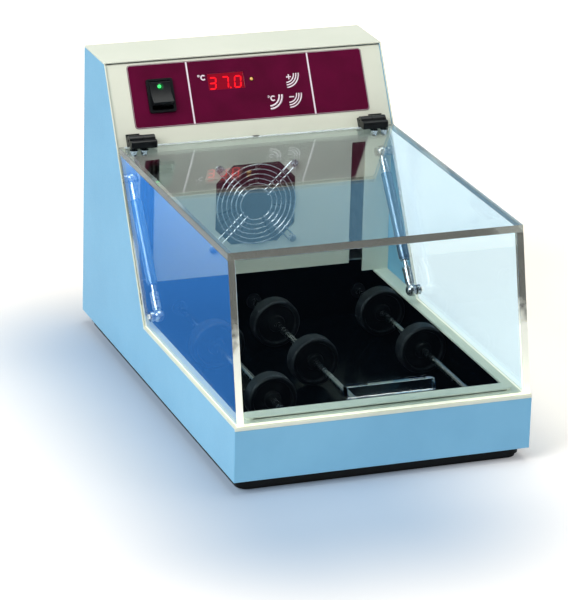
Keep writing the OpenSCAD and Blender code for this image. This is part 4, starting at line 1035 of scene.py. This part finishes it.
# %% Floor
FLOOR_HALF = 6.0
floor_mesh = bpy.data.meshes.new("studio_floor")
floor_mesh.from_pydata(
    [(-FLOOR_HALF, -FLOOR_HALF, 0), (FLOOR_HALF, -FLOOR_HALF, 0),
     (FLOOR_HALF, FLOOR_HALF, 0), (-FLOOR_HALF, FLOOR_HALF, 0)], [], [(0, 1, 2, 3)])
floor = bpy.data.objects.new("studio_floor", floor_mesh)
bpy.context.collection.objects.link(floor)
floor_finish, floor_tree = new_material("studio_floor")
spot = add(floor_tree, "ShaderNodeTexCoord")
moved = add(floor_tree, "ShaderNodeVectorMath", {
    0: spot.outputs["Object"], 1: (0.07, 0.08, 0.0)}, operation="ADD")
quadrant = add(floor_tree, "ShaderNodeVectorMath", {
    0: moved.outputs["Vector"]}, operation="ABSOLUTE")
outside = add(floor_tree, "ShaderNodeVectorMath", {
    0: quadrant.outputs["Vector"], 1: (0.035, 0.2, 0.0)}, operation="SUBTRACT")
beyond = add(floor_tree, "ShaderNodeVectorMath", {
    0: outside.outputs["Vector"], 1: (0.0, 0.0, 0.0)}, operation="MAXIMUM")
gap = add(floor_tree, "ShaderNodeVectorMath", {
    0: beyond.outputs["Vector"]}, operation="LENGTH")
painted_shadow_fade = add(floor_tree, "ShaderNodeMapRange", {
    "Value": gap.outputs["Value"], "From Min": 0.0, "From Max": 0.29},
    interpolation_type="SMOOTHSTEP")
# painted shadow: blue-grey near the oven, fading to white further out
painted_shadow_tone = add(floor_tree, "ShaderNodeMix", {
    "Factor": painted_shadow_fade.outputs["Result"], MIX_A: linear("#98AABD"), MIX_B: linear("#FFF8F0")},
    data_type="RGBA")
matt = add(floor_tree, "ShaderNodeBsdfDiffuse", {"Color": painted_shadow_tone.outputs[MIX_RESULT]})
pale = add(floor_tree, "ShaderNodeBsdfDiffuse", {"Color": linear("#E4EEF8")})
farther = add(floor_tree, "ShaderNodeMapRange", {
    "Value": gap.outputs["Value"], "From Min": 0.4, "From Max": 2.0, "To Min": 0.3,
    "To Max": 1.1})
lift = add(floor_tree, "ShaderNodeEmission", {
    "Color": painted_shadow_tone.outputs[MIX_RESULT], "Strength": farther.outputs["Result"]})
deepening = add(floor_tree, "ShaderNodeMapRange", {
    "Value": gap.outputs["Value"], "From Min": 0.15, "From Max": 0.45, "To Min": 1.5,
    "To Max": 2.4})
blue = add(floor_tree, "ShaderNodeEmission", {
    "Color": linear("#438CE4"), "Strength": deepening.outputs["Result"]})
seen_ray = add(floor_tree, "ShaderNodeLightPath")
seen_by = looked_at(floor_tree, seen_ray)
mirror_like = add(floor_tree, "ShaderNodeMath", {
    0: seen_ray.outputs["Is Glossy Ray"], 1: seen_ray.outputs["Is Singular Ray"]},
    operation="MULTIPLY")
one_sheet = add(floor_tree, "ShaderNodeMath", {
    0: seen_ray.outputs["Transmission Depth"], 1: 2.5}, operation="LESS_THAN")
sharp = add(floor_tree, "ShaderNodeMath", {
    0: mirror_like.outputs["Value"], 1: one_sheet.outputs["Value"]},
    operation="MULTIPLY")
plain = add(floor_tree, "ShaderNodeAddShader", {
    0: matt.outputs["BSDF"], 1: lift.outputs["Emission"]})
# a painted pale-blue tint on the floor near the oven, seen only through the clear lid
through = add(floor_tree, "ShaderNodeMath", {
    0: seen_ray.outputs["Is Transmission Ray"], 1: painted_shadow_fade.outputs["Result"]},
    operation="MULTIPLY")
painted_lid_tint_strength = add(floor_tree, "ShaderNodeMath", {
    0: through.outputs["Value"], 1: 0.42}, operation="MULTIPLY")
painted_lid_tint = add(floor_tree, "ShaderNodeEmission", {
    "Color": linear("#A4DBFF"), "Strength": painted_lid_tint_strength.outputs["Value"]})
shown = add(floor_tree, "ShaderNodeAddShader", {
    0: plain.outputs["Shader"], 1: painted_lid_tint.outputs["Emission"]})
bounced = add(floor_tree, "ShaderNodeMixShader", {
    0: sharp.outputs["Value"], 1: pale.outputs["BSDF"],
    2: blue.outputs["Emission"]})
floor_look = add(floor_tree, "ShaderNodeMixShader", {
    0: seen_by.outputs["Value"], 1: bounced.outputs["Shader"],
    2: shown.outputs["Shader"]})
add(floor_tree, "ShaderNodeOutputMaterial", {"Surface": floor_look.outputs["Shader"]})
floor_mesh.materials.append(floor_finish)
bpy.context.scene.view_settings.view_transform = "Standard"
print("a floor that fades to white")
